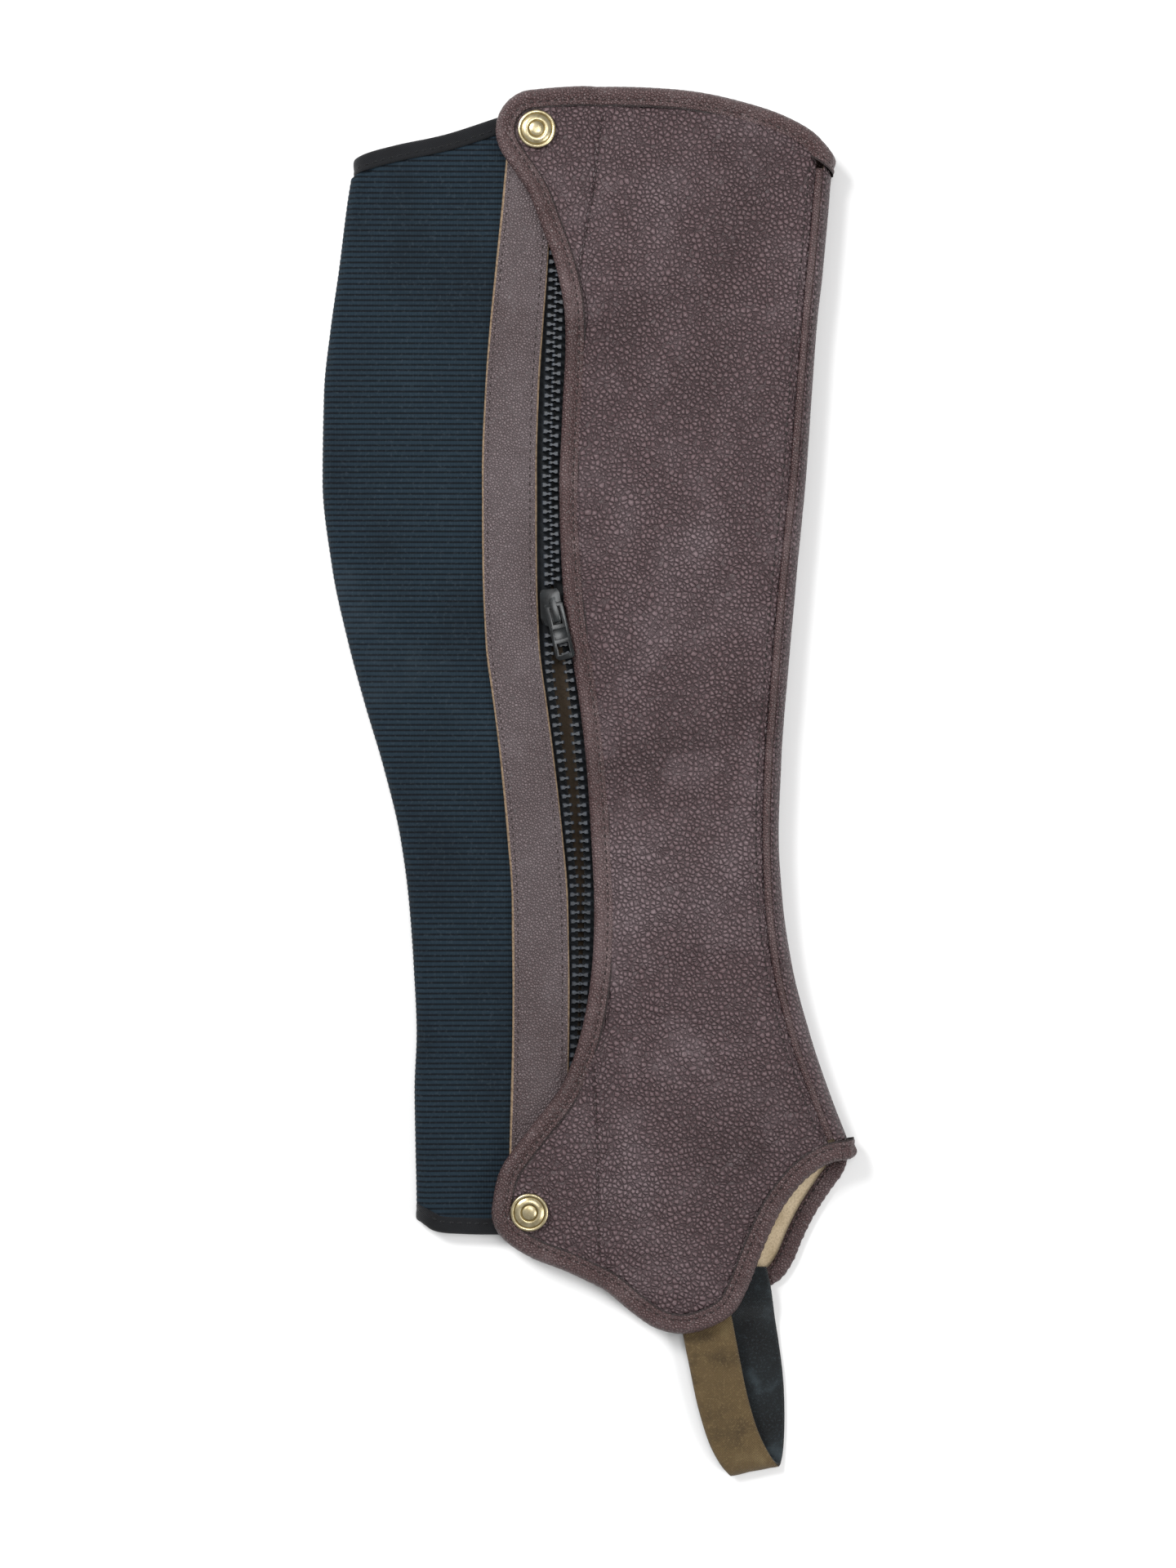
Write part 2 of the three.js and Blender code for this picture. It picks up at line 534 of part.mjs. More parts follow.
const bailPlace = (body) => place(body, PIVOT, PIVOT.turn);
const bail = bailPlace(
  box(-BAIL.w / 2, BAIL.w / 2, -BAIL.to, -BAIL.from, SLIDER.highTop - 0.4, BAIL.top).subtract(
    box(-BAIL.w, BAIL.w, -BAIL.to + BAIL.leg, -BAIL.from - BAIL.leg, SLIDER.highTop - 1, BAIL.top - BAIL.bar),
  ),
);
const post = place(box(SLIDER.postX - SLIDER.post / 2, SLIDER.postX + SLIDER.post / 2, -6.1, -4.3, SLIDER.lowTop - 0.5, SLIDER.high + 0.5), SLIDER, SLIDER.turn);
const slider = place(plate(SLIDER.high, SLIDER.highTop), SLIDER, SLIDER.turn).add(place(plate(SLIDER.low, SLIDER.lowTop), SLIDER, SLIDER.turn)).add(post).add(bail);

// Pull tab, hanging on its cross bar.
const pullBody = (() => {
  const w = PULL.w / 2;
  const t = PULL.t / 2;
  const z = PIVOT.z;
  const outline = [V2(-w, 0.2), V2(-w + 0.6, PULL.bar), V2(w - 0.6, PULL.bar), V2(w, 0.2), V2(w, -PULL.end + 1), V2(w - 1, -PULL.end), V2(-w + 1, -PULL.end), V2(-w, -PULL.end + 1)];
  return prism(outline, z - t, z + t)
    .subtract(box(-PULL.window / 2, PULL.window / 2, -PULL.windowEnd, -PULL.bar, z - 3, z + 3))
    .subtract(box(-PULL.holeW / 2, PULL.holeW / 2, -PULL.holeTo, -PULL.holeFrom, z - 3, z + 3))
    .subtract(box(-w + 1.1, w - 1.1, -PULL.recessTo, -PULL.recessFrom, z + t - PULL.recess, z + 3));
})();
const pull = bailPlace(pullBody);

// ---------- foot strap ----------
function strapSolid() {
  const line = (key) => {
    const c = new THREE.CatmullRomCurve3(STRAP.map((r) => new THREE.Vector3(r[key + "x"], r[key + "y"], r.z)), false, "centripetal");
    return STRAP.flatMap((_, i) => (i < STRAP.length - 1 ? [c.getPoint(i / (STRAP.length - 1)), c.getPoint((i + 0.5) / (STRAP.length - 1))] : [c.getPoint(1)]));
  };
  const left = line("l");
  const right = line("r");
  const middle = left.map((p, i) => [0, 0.5, 1].map((u) => p.clone().lerp(right[i], u)));
  const shifted = (side) => middle.map((row, i) => row.map((p, j) => {
    const along = middle[Math.min(middle.length - 1, i + 1)][j].clone().sub(middle[Math.max(0, i - 1)][j]);
    const across = row[2].clone().sub(row[0]);
    const n = across.cross(along).normalize();
    const q = p.clone().addScaledVector(n, (side * STRAP_T) / 2);
    q.z = Math.max(0, q.z);
    return q;
  }));
  return wall(shifted(1), shifted(-1));
}

// ---------- press-stud caps ----------
function cap() {
  const profile = [V2(0, 0), V2(CAP_R - 0.5, 0), V2(CAP_R, 0.5), V2(CAP_R, 0.9), V2(CAP_R - 0.5, 1.3), V2(CAP_R - 1.3, 1.2), V2(CAP_R - 3, CAP_H - 0.2), V2(0, CAP_H)];
  const g = new THREE.LatheGeometry(profile, 24);
  g.rotateX(Math.PI / 2);
  return g;
}

// ---------- the object ----------
const group = new THREE.Group();
group.position.set(-CENTRE.x, -CENTRE.y, 0);
const COLOURS = {
  leather: { color: 0x4a3a3b, roughness: 0.55, metalness: 0 },
  binding: { color: 0x443332, roughness: 0.5, metalness: 0 },
  elastic: { color: 0x1b2025, roughness: 0.9, metalness: 0 },
  black: { color: 0x0d0e10, roughness: 0.85, metalness: 0 },
  plastic: { color: 0x15171b, roughness: 0.35, metalness: 0 },
  enamel: { color: 0x08080a, roughness: 0.2, metalness: 0.3 },
  brass: { color: 0xb9a36a, roughness: 0.35, metalness: 1 },
  strap: { color: 0x4a4032, roughness: 0.9, metalness: 0 },
};
function add(name, geometry, colour) {
  const mesh = new THREE.Mesh(geometry, new THREE.MeshStandardMaterial(COLOURS[colour]));
  mesh.name = name;
  group.add(mesh);
  return mesh;
}
add("inner_panel", geometryOf(innerPanel), "leather");
add("outer_panel", geometryOf(outerPanel), "leather");
add("front_welt", weltSolid(), "binding");
add("binding_outer", geometryOf(bindingOuter), "binding");
add("binding_inner_top", geometryOf(bindingInnerTop), "binding");
add("binding_inner_bottom", geometryOf(bindingInnerBottom), "binding");
add("elastic_panel", geometryOf(elasticPanel), "elastic");
add("elastic_binding_top", geometryOf(elasticTop), "black");
add("elastic_binding_bottom", geometryOf(elasticBottom), "black");
add("zip_strip", zipStrip, "leather");
add("zip_tape_back", tapeBack, "black");
add("zip_tape_front", tapeFront, "black");
add("zip_chain", chain, "plastic");
add("zip_row_back", rowBack, "plastic");
add("zip_row_front", rowFront, "plastic");
add("zip_slider", geometryOf(slider), "enamel");
add("zip_pull", geometryOf(pull), "enamel");
add("foot_strap", strapSolid(), "strap");
for (const [name, p] of [["snap_cap_top", SNAP_TOP], ["snap_cap_bottom", SNAP_BOTTOM]]) {
  add(name, cap(), "brass").position.set(p.x, p.y, TAB_LEVEL + LEATHER + SEAM);
}

export default group;
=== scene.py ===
import math

import bpy
import bmesh
import numpy as np
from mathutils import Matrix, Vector, noise
from mathutils.geometry import delaunay_2d_cdt


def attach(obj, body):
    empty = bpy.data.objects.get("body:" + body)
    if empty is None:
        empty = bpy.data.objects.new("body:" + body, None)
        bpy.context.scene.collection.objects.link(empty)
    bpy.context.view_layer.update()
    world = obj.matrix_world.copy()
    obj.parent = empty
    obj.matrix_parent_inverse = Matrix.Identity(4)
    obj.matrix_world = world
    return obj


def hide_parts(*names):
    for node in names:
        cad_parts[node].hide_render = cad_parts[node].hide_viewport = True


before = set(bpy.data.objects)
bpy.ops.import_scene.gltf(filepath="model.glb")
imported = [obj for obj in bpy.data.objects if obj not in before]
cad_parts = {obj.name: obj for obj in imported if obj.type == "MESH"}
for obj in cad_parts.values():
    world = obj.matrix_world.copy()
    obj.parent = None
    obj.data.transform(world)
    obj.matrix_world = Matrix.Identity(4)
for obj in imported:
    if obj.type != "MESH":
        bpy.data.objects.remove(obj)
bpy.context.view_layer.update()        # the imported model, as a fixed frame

MM = 0.001
SHIFT = (0.16, 0.2)  # the same centring as the solids

# ---------------------------------------------------------------- sizes, as in the solids
LEATHER, ELASTIC = 1.8, 1.6
BINDING_W, BINDING_T = 6.0, 3.0
FRONT_H, BACK_H = 11.5, 5.6
TAB_LEVEL, FLAP_LEVEL = 8.5, 6.3
TAPE_Z, TAPE_T, TEETH_T, TEETH_W = 4.4, 1.0, 1.6, 2.8
SNAP_TOP, SNAP_BOTTOM = (-17.6, 222.6), (-20.1, -145.9)
CAP_R = 6.5

LEG_COLS = ("y", "back", "rib", "strip", "zip", "welt", "front")
LEG_ROWS = [
    (240, -77.0, -25.6, -11.0, -8.0, 80.0, 85.0), (222, -79.0, -27.4, -11.3, -8.6, 79.5, 84.2),
    (199, -82.7, -29.4, -12.5, -9.8, 77.7, 82.3), (176, -85.6, -31.8, -13.9, -10.8, 75.7, 80.2),
    (157, -88.3, -33.7, -15.4, -11.3, 73.8, 78.2), (134, -90.7, -35.5, -17.0, -12.3, 72.0, 76.5),
    (104, -91.2, -36.5, -17.7, -13.1, 69.7, 74.4), (74, -87.9, -36.3, -17.6, -12.5, 66.6, 71.4),
    (50, -82.8, -35.4, -16.9, -11.4, 64.5, 69.3), (28, -76.9, -32.7, -14.3, -9.2, 62.8, 67.4),
    (5, -70.1, -29.9, -11.3, -6.3, 61.1, 65.8), (-18, -64.6, -27.7, -8.7, -3.9, 60.5, 65.1),
    (-40, -61.6, -26.3, -7.0, -2.4, 61.3, 66.4), (-63, -59.9, -26.0, -6.5, -2.4, 64.0, 69.8),
    (-86, -58.9, -26.1, -6.6, -3.0, 69.4, 75.8), (-105, -59.6, -26.4, -6.8, -4.4, 76.0, 82.2),
    (-124, -59.3, -27.0, -7.2, -5.7, 83.3, 89.4), (-143, -58.9, -27.3, -7.6, -6.8, 89.5, 96.0),
    (-190, -58.4, -28.0, -8.0, -9.0, 104.0, 112.0),
]
TEETH_COLS = ("y", "back", "front")
TEETH_ROWS = [
    (215, -10.3, -7.5), (176, -12.2, -9.4), (134, -13.7, -10.9), (104, -14.5, -11.7), (74, -13.9, -11.1),
    (60, -13.6, -10.6), (52, -13.7, -9.3), (41, -13.5, -6.9), (26, -11.8, -5.1), (11, -9.7, -3.6),
    (-4, -7.8, -2.3), (-20, -6.3, -1.1), (-35, -5.1, -0.4), (-50, -4.6, -0.6), (-65, -4.3, -1.3),
    (-92, -4.9, -2.0), (-112, -5.6, -2.7),
]
FLAP = [(-20.5, 201.5), (-16.0, 190.0), (-11.4, 177.0), (-8.4, 163.0), (-7.9, 149.5), (-9.0, 126.7), (-10.0, 100.0),
        (-9.2, 75.0), (-7.6, 55.0), (-4.9, 39.3), (-2.4, 22.2), (-0.4, 1.3), (1.0, -20.0), (1.9, -41.6), (0.9, -65.2),
        (-2.9, -86.0), (-9.5, -103.5), (-20.0, -117.5), (-30.0, -131.5)]
HEM = [(-19.4, -161.7), (-7.0, -166.6), (5.3, -172.9), (15.0, -180.7), (23.0, -185.9), (32.0, -187.7), (41.4, -185.4),
       (49.5, -180.4), (54.3, -172.0), (57.6, -163.5), (61.5, -154.0), (67.0, -143.3), (74.0, -134.8), (82.0, -129.4),
       (90.4, -127.9), (125.0, -126.0)]
TOP = [(122.0, 180.0), (92.0, 206.5), (82.5, 215.6), (76.5, 221.8), (66.0, 227.6), (50.0, 232.8), (33.0, 236.2),
       (15.0, 237.5), (-4.0, 237.6)]
TOP_INNER = [(122.0, 180.0), (92.0, 206.5), (82.5, 215.6), (76.5, 221.6), (66.0, 227.1), (50.0, 232.2), (33.0, 235.4),
             (15.0, 236.6), (-5.0, 235.4), (-27.0, 230.0), (-60.0, 219.0)]
TOP_ELASTIC = [(-5.0, 236.0), (-29.3, 228.7), (-49.4, 222.2), (-66.0, 218.6), (-78.0, 215.0), (-95.0, 205.0)]
BOTTOM_ELASTIC = [(-75.0, -147.0), (-58.5, -149.8), (-53.0, -153.2), (-42.0, -154.4), (-10.0, -154.4)]
HEM_INNER = [(-60.0, -154.2), (-26.0, -154.4), (3.4, -158.8), (26.2, -165.6), (41.4, -171.4), (50.0, -174.0),
             (58.5, -173.8), (65.5, -170.8), (70.0, -164.8), (73.6, -156.5), (78.0, -147.8), (84.0, -138.6),
             (89.2, -131.6), (90.6, -128.2), (125.0, -126.5)]
STRAP = [(28.6, -169.0, 45.2, -165.0, 6.3), (30.4, -178.0, 47.2, -173.8, 6.3), (32.0, -187.0, 49.0, -182.6, 6.2),
         (34.4, -199.0, 51.4, -195.0, 5.7), (37.6, -214.0, 54.4, -209.6, 5.2), (41.6, -226.6, 58.0, -221.6, 4.8),
         (45.4, -233.6, 61.6, -229.2, 4.4), (47.8, -236.4, 64.0, -232.8, 3.7), (48.8, -237.3, 65.4, -234.2, 2.6),
         (49.6, -236.2, 66.2, -233.2, 1.5), (50.2, -233.0, 66.8, -230.4, 0.9), (50.6, -222.0, 67.4, -220.4, 0.8),
         (50.2, -206.0, 67.0, -205.4, 0.8), (48.8, -192.0, 65.4, -192.0, 0.8), (47.8, -184.5, 64.2, -184.5, 1.6),
         (47.0, -178.5, 63.3, -178.3, 3.6), (46.2, -172.0, 62.4, -172.0, 4.0), (45.4, -165.4, 61.0, -165.8, 4.0)]
SLIDER = dict(x=-12.7, y=60.0, turn=0.1)
PIVOT = dict(x=-11.9, y=60.6, z=10.2, turn=0.23)


def table_of(cols, rows):
    r = sorted(rows)
    return {c: np.array([q[i] for q in r], float) for i, c in enumerate(cols)}


LEG = table_of(LEG_COLS, LEG_ROWS)
TEETH = table_of(TEETH_COLS, TEETH_ROWS)
FLAPT = table_of(("y", "x"), [(y, x) for x, y in FLAP])


def at(t, col, y):
    """Monotone cubic value of a column at y (a number or an array)."""
    ys, vs = t["y"], t[col]
    y = np.clip(np.asarray(y, float), ys[0], ys[-1])
    d = np.diff(vs) / np.diff(ys)
    m = np.empty(len(ys))
    m[0], m[-1] = d[0], d[-1]
    a, b = d[:-1], d[1:]
    m[1:-1] = np.where(a * b <= 0, 0, 2 * a * b / np.where(a + b == 0, 1, a + b))
    i = np.clip(np.searchsorted(ys, y, side="right") - 1, 0, len(ys) - 2)
    h = ys[i + 1] - ys[i]
    u = (y - ys[i]) / h
    return ((2 * u**3 - 3 * u * u + 1) * vs[i] + (u**3 - 2 * u * u + u) * h * m[i]
            + (-2 * u**3 + 3 * u * u) * vs[i + 1] + (u**3 - u * u) * h * m[i + 1])


def ease(u):
    u = np.clip(u, 0, 1)
    return u * u * (3 - 2 * u)


def under(x, y):
    x, y = np.asarray(x, float), np.asarray(y, float)
    flap = np.where(y > 176, -11.0, np.where(y < -80, -4.0, at(FLAPT, "x", y)))
    u = np.clip((x - flap) / (at(LEG, "welt", y) - 2 - flap), 0, 1)
    base = FLAP_LEVEL + (FRONT_H - LEATHER - FLAP_LEVEL) * np.sin(u * math.pi / 2)
    reach = 9 * np.maximum(ease((y - 135) / 35), ease((-55 - y) / 30))
    over = 1 - ease((x - at(LEG, "strip", y) - reach) / 9)
    return np.maximum(base, FLAP_LEVEL + (TAB_LEVEL - FLAP_LEVEL) * over)


def smooth(rows, step):
    """Points at even steps along a centripetal Catmull-Rom curve through the rows."""
    p = [np.array(r, float) for r in rows]
    p = [2 * p[0] - p[1]] + p + [2 * p[-1] - p[-2]]
    fine = []
    for i in range(1, len(p) - 2):
        t = [0.0]
        for k in range(3):
            t.append(t[-1] + max(1e-6, np.linalg.norm(p[i + k] - p[i + k - 1]) ** 0.5))
        for s in np.linspace(t[1], t[2], 24, endpoint=False):
            a = [p[i - 1 + k] * (t[k + 1] - s) / (t[k + 1] - t[k]) + p[i + k] * (s - t[k]) / (t[k + 1] - t[k]) for k in range(3)]
            b = [a[k] * (t[k + 2] - s) / (t[k + 2] - t[k]) + a[k + 1] * (s - t[k]) / (t[k + 2] - t[k]) for k in range(2)]
            fine.append(b[0] * (t[2] - s) / (t[2] - t[1]) + b[1] * (s - t[1]) / (t[2] - t[1]))
    fine.append(p[-2])
    fine = np.array(fine)
    run = np.concatenate([[0], np.cumsum(np.linalg.norm(np.diff(fine, axis=0), axis=1))])
    n = max(2, int(round(run[-1] / step)))
    want = np.linspace(0, run[-1], n + 1)
    return np.stack([np.interp(want, run, fine[:, k]) for k in range(fine.shape[1])], 1)


def tangents(line):
    t = np.gradient(line, axis=0)
    return t / np.maximum(1e-9, np.linalg.norm(t, axis=1, keepdims=True))


def offset(line, d):
    """The line moved to its left."""
    t = tangents(line[:, :2])
    return line[:, :2] + np.stack([-t[:, 1], t[:, 0]], 1) * np.asarray(d).reshape(-1, 1)


def arc(c, r, a0, a1, n):
    return [(c[0] + r * math.cos(math.radians(a)), c[1] + r * math.sin(math.radians(a))) for a in np.linspace(a0, a1, n + 1)]


OUTER_EDGE = smooth([*TOP, *arc(SNAP_TOP, 14.1, 88, 205, 5), *FLAP, *arc(SNAP_BOTTOM, 13.0, 165, 235, 3), *HEM], 1.0)


def wave(x, y, seed=0.0, size=30.0):
    """Smooth uneven numbers from -1 to 1, the same on each run."""
    x, y = np.broadcast_arrays(np.asarray(x, float), np.asarray(y, float))
    flat = [noise.noise(Vector((a / size + seed, b / size - seed, seed * 1.7))) for a, b in zip(x.ravel(), y.ravel())]
    return np.array(flat).reshape(x.shape)


# ---------------------------------------------------------------- materials
def lin(r, g, b):
    f = lambda c: c / 12.92 if c <= 0.04045 else ((c + 0.055) / 1.055) ** 2.4
    return (f(r / 255), f(g / 255), f(b / 255), 1.0)


class Mat:
    def __init__(self, name, **sockets):
        self.m = bpy.data.materials.new(name)
        self.m.use_nodes = True
        self.t = self.m.node_tree
        self.b = self.t.nodes["Principled BSDF"]
        for k, v in sockets.items():
            self.b.inputs[k.replace("_", " ")].default_value = v
        self.co = self.node("ShaderNodeTexCoord").outputs["Object"]

    def node(self, kind, **kw):
        n = self.t.nodes.new(kind)
        for k, v in kw.items():
            if k.startswith("i_"):
                n.inputs[k[2:].replace("_", " ")].default_value = v
            else:
                setattr(n, k, v)
        return n

    def link(self, a, b):
        self.t.links.new(a, b)

    def noise(self, scale, detail=3.0, rough=0.5, co=None):
        n = self.node("ShaderNodeTexNoise", i_Scale=scale, i_Detail=detail, i_Roughness=rough)
        self.link(co or self.co, n.inputs["Vector"])
        return n.outputs["Fac"]

    def voronoi(self, scale, feature="F1", co=None, smooth_=None, rand=1.0):
        n = self.node("ShaderNodeTexVoronoi", feature=feature, i_Scale=scale, i_Randomness=rand)
        if smooth_ is not None:
            n.inputs["Smoothness"].default_value = smooth_
        self.link(co or self.co, n.inputs["Vector"])
        return n.outputs["Distance"]

    def ramp(self, fac, stops, mode="EASE"):
        n = self.node("ShaderNodeValToRGB")
        n.color_ramp.interpolation = mode
        e = n.color_ramp.elements
        while len(e) < len(stops):
            e.new(0.5)
        for el, (p, c) in zip(e, stops):
            el.position = p
            el.color = c if len(c) == 4 else (*c, 1)
        self.link(fac, n.inputs["Fac"])
        return n.outputs["Color"]

    def grey(self, fac, stops, mode="EASE"):
        return self.ramp(fac, [(p, (v, v, v, 1)) for p, v in stops], mode)

    def math(self, op, a, b=None, clamp=False):
        n = self.node("ShaderNodeMath", operation=op, use_clamp=clamp)
        for i, v in enumerate((a, b)):
            if v is None:
                continue
            if isinstance(v, (int, float)):
                n.inputs[i].default_value = v
            else:
                self.link(v, n.inputs[i])
        return n.outputs[0]

    def mix(self, fac, a, b, mode="MIX"):
        n = self.node("ShaderNodeMix", data_type="RGBA", blend_type=mode)
        for key, v in (("Factor", fac), ("A", a), ("B", b)):
            sock = [s for s in n.inputs if s.name == key and s.enabled][0]
            if isinstance(v, (int, float)):
                sock.default_value = v
            elif isinstance(v, tuple):
                sock.default_value = v
            else:
                self.link(v, sock)
        return [s for s in n.outputs if s.enabled][0]

    def bump(self, height, strength, distance, normal=None):
        n = self.node("ShaderNodeBump", i_Strength=strength, i_Distance=distance)
        self.link(height, n.inputs["Height"])
        if normal is not None:
            self.link(normal, n.inputs["Normal"])
        return n.outputs["Normal"]

    def out(self, color=None, rough=None, normal=None):
        if color is not None:
            self.link(color, self.b.inputs["Base Color"])
        if rough is not None:
            self.link(rough, self.b.inputs["Roughness"])
        if normal is not None:
            self.link(normal, self.b.inputs["Normal"])
        return self.m


def leather(name, base, dark, light, grain=800.0, depth=0.00035, rough=(0.42, 0.62), strength=0.8, wear=0.35):
    m = Mat(name, Specular_IOR_Level=0.5)
    # warp the cells a little so that the pebbles are uneven
    w = m.node("ShaderNodeTexNoise", i_Scale=260.0, i_Detail=2.0)
    m.link(m.co, w.inputs["Vector"])
    add = m.node("ShaderNodeVectorMath", operation="MULTIPLY_ADD")
    m.link(w.outputs["Color"], add.inputs[0])
    add.inputs[1].default_value = (0.0011, 0.0011, 0.0011)
    m.link(m.co, add.inputs[2])
    co = add.outputs[0]
    cells = m.voronoi(grain, "SMOOTH_F1", co, 0.35)
    edge = m.voronoi(grain, "DISTANCE_TO_EDGE", co)
    pebble = m.math("ADD", m.math("MULTIPLY", m.math("SUBTRACT", 1.0, cells), 0.7), m.math("MULTIPLY", m.grey(edge, [(0.0, 0.0), (0.22, 1.0)]), 0.5))
    fine = m.noise(2600.0, 4.0, 0.6)
    large = m.noise(14.0, 4.0, 0.55)
    blot = m.noise(60.0, 3.0, 0.6)
    # painted shade: the grooves between the pebbles are darkened towards 0.3 of the base colour
    painted_groove_shade = m.grey(edge, [(0.0, 0.0), (0.14, 1.0)])
    col = m.ramp(large, [(0.30, dark), (0.52, base), (0.78, light)])
    col = m.mix(m.math("MULTIPLY", m.math("SUBTRACT", 1.0, painted_groove_shade), 0.85), col, tuple(c * 0.3 for c in base[:3]) + (1.0,))
    col = m.mix(m.math("MULTIPLY", m.grey(blot, [(0.45, 0.0), (0.8, 1.0)]), wear), col, light)
    # painted highlight: the centre of each pebble is lightened towards the light colour
    col = m.mix(m.grey(cells, [(0.05, 0.3), (0.45, 0.0)]), col, light)
    ro = m.grey(m.math("ADD", m.math("MULTIPLY", large, 0.5), m.math("MULTIPLY", fine, 0.5)), [(0.3, rough[0]), (0.7, rough[1])], "LINEAR")
    n1 = m.bump(m.math("ADD", pebble, m.math("MULTIPLY", fine, 0.18)), strength, depth)
    n2 = m.bump(blot, 0.25, 0.0012, n1)
    return m.out(col, ro, n2)


LEATHER_OUT = leather("leather_outer_pebbled", lin(95, 75, 78), lin(77, 58, 60), lin(126, 110, 114), grain=640.0, depth=0.0016, rough=(0.36, 0.54), strength=1.0)
LEATHER_IN = leather("leather_inner_pebbled", lin(93, 73, 76), lin(76, 57, 59), lin(122, 106, 110), grain=640.0, depth=0.0014, rough=(0.38, 0.56), strength=1.0)
LEATHER_STRIP = leather("leather_strip_smooth", lin(96, 83, 85), lin(82, 67, 68), lin(114, 104, 107), grain=1150.0, depth=0.0005, rough=(0.45, 0.6), strength=0.9, wear=0.3)
LEATHER_BIND = leather("leather_binding_rolled", lin(82, 60, 60), lin(62, 43, 42), lin(116, 98, 99), grain=1050.0, depth=0.0005, rough=(0.32, 0.48), strength=0.9, wear=0.4)

# a dark leather used as painted shade on the bindings' inner edges and on the outer panel's cut edges
LEATHER_PAINTED_SHADE = leather("leather_crease_painted_shade", lin(38, 24, 24), lin(28, 16, 16), lin(52, 38, 38), grain=1050.0, rough=(0.6, 0.75))


def suede():
    m = Mat("suede_tan", Sheen_Weight=0.35, Sheen_Roughness=0.5, Specular_IOR_Level=0.2)
    f = m.noise(1600.0, 6.0, 0.7)
    l = m.noise(90.0, 3.0, 0.5)
    col = m.ramp(l, [(0.3, lin(190, 170, 138)), (0.55, lin(218, 198, 166)), (0.8, lin(232, 214, 184))])
    col = m.mix(m.grey(f, [(0.35, 0.45), (0.6, 0.0)]), col, lin(140, 118, 90))
    # painted shade: the suede is darkened towards dark brown where x is below 50 mm (fully below 25 mm), deep inside
    # the leg where little light reaches
    sep = m.node("ShaderNodeSeparateXYZ")
    m.link(m.co, sep.inputs[0])
    painted_inner_shade = m.math("MULTIPLY", m.math("SUBTRACT", 0.05, sep.outputs["X"]), 40.0, clamp=True)
    col = m.mix(m.math("MULTIPLY", painted_inner_shade, 0.93), col, lin(44, 32, 24))
    return m.out(col, m.grey(f, [(0.0, 0.85), (1.0, 0.98)], "LINEAR"), m.bump(f, 0.6, 0.0004))


def raw_edge():
    m = Mat("raw_leather_edge", Specular_IOR_Level=0.25)
    f = m.noise(900.0, 4.0, 0.6)
    col = m.ramp(f, [(0.3, lin(96, 78, 62)), (0.6, lin(136, 116, 94)), (0.8, lin(160, 142, 120))])
    return m.out(col, m.grey(f, [(0, 0.7), (1, 0.9)], "LINEAR"), m.bump(f, 0.4, 0.0002))


def elastic_mat():
    m = Mat("elastic_ribbed_navy", Sheen_Weight=0.04, Sheen_Roughness=0.6, Specular_IOR_Level=0.12)
    sep = m.node("ShaderNodeSeparateXYZ")
    m.link(m.co, sep.inputs[0])
    # fine vertical knit inside each rib
    knit = m.math("SINE", m.math("MULTIPLY", sep.outputs["X"], 2 * math.pi / 0.00095))
    rib = m.math("SUBTRACT", 0.5, m.math("MULTIPLY", m.math("COSINE", m.math("MULTIPLY", sep.outputs["Y"], 2 * math.pi / 0.00184)), 0.5))
    f = m.noise(900.0, 4.0, 0.7)
    l = m.noise(26.0, 4.0, 0.6)
    scuff = m.noise(11.0, 5.0, 0.65)
    col = m.ramp(l, [(0.3, lin(21, 33, 42)), (0.55, lin(26, 40, 50)), (0.8, lin(33, 47, 57))])
    # painted shade: the troughs between the ribs are darkened nearly to black, in step with the ribs of the mesh
    col = m.mix(m.grey(rib, [(0.0, 0.92), (0.6, 0.0)]), col, lin(5, 8, 13))
    col = m.mix(m.math("MULTIPLY", m.grey(f, [(0.5, 0.0), (0.72, 1.0)]), 0.2), col, lin(70, 80, 88))
    col = m.mix(m.math("MULTIPLY", m.grey(scuff, [(0.55, 0.0), (0.75, 1.0)]), 0.16), col, lin(74, 84, 92))
    h = m.math("ADD", m.math("MULTIPLY", knit, 0.35), f)
    return m.out(col, m.grey(f, [(0, 0.78), (1, 0.95)], "LINEAR"), m.bump(h, 0.55, 0.00022))


def woven(name, base, dark, light, pitch=0.0007, depth=0.00018, rough=0.9, sheen=0.15, speck=0.2):
    m = Mat(name, Sheen_Weight=sheen, Specular_IOR_Level=0.25)
    sep = m.node("ShaderNodeSeparateXYZ")
    m.link(m.co, sep.inputs[0])
    a = m.math("SINE", m.math("MULTIPLY", sep.outputs["X"], 2 * math.pi / pitch))
    b = m.math("SINE", m.math("MULTIPLY", sep.outputs["Y"], 2 * math.pi / pitch))
    w = m.math("MULTIPLY", a, b)
    f = m.noise(1300.0, 4.0, 0.65)
    l = m.noise(80.0, 3.0, 0.5)
    col = m.ramp(l, [(0.3, dark), (0.55, base), (0.8, light)])
    col = m.mix(m.grey(w, [(0.0, 0.35), (0.6, 0.0)]), col, dark)
    col = m.mix(m.math("MULTIPLY", m.grey(f, [(0.5, 0.0), (0.7, 1.0)]), speck), col, light)
    return m.out(col, m.grey(f, [(0, rough - 0.1), (1, rough + 0.05)], "LINEAR"), m.bump(m.math("ADD", w, f), 0.6, depth))


ELASTIC_M = elastic_mat()
SUEDE = suede()
RAW = raw_edge()
EDGE_BLACK = woven("binding_black_woven", lin(17, 19, 23), lin(9, 10, 13), lin(30, 33, 38))
TAPE_M = woven("tape_black_woven", lin(20, 24, 28), lin(9, 11, 14), lin(36, 42, 48), pitch=0.0008)
STRAP_OUT = woven("strap_olive_woven", lin(98, 80, 51), lin(66, 52, 32), lin(132, 114, 80), pitch=0.00085, depth=0.0003, speck=0.45)
STRAP_IN = woven("strap_plush_black", lin(22, 28, 31), lin(10, 13, 15), lin(66, 78, 84), pitch=0.0006, depth=0.0004, sheen=0.15, speck=0.4)
STRAP_EDGE = woven("strap_edge_dark", lin(40, 36, 30), lin(22, 20, 18), lin(62, 56, 46))


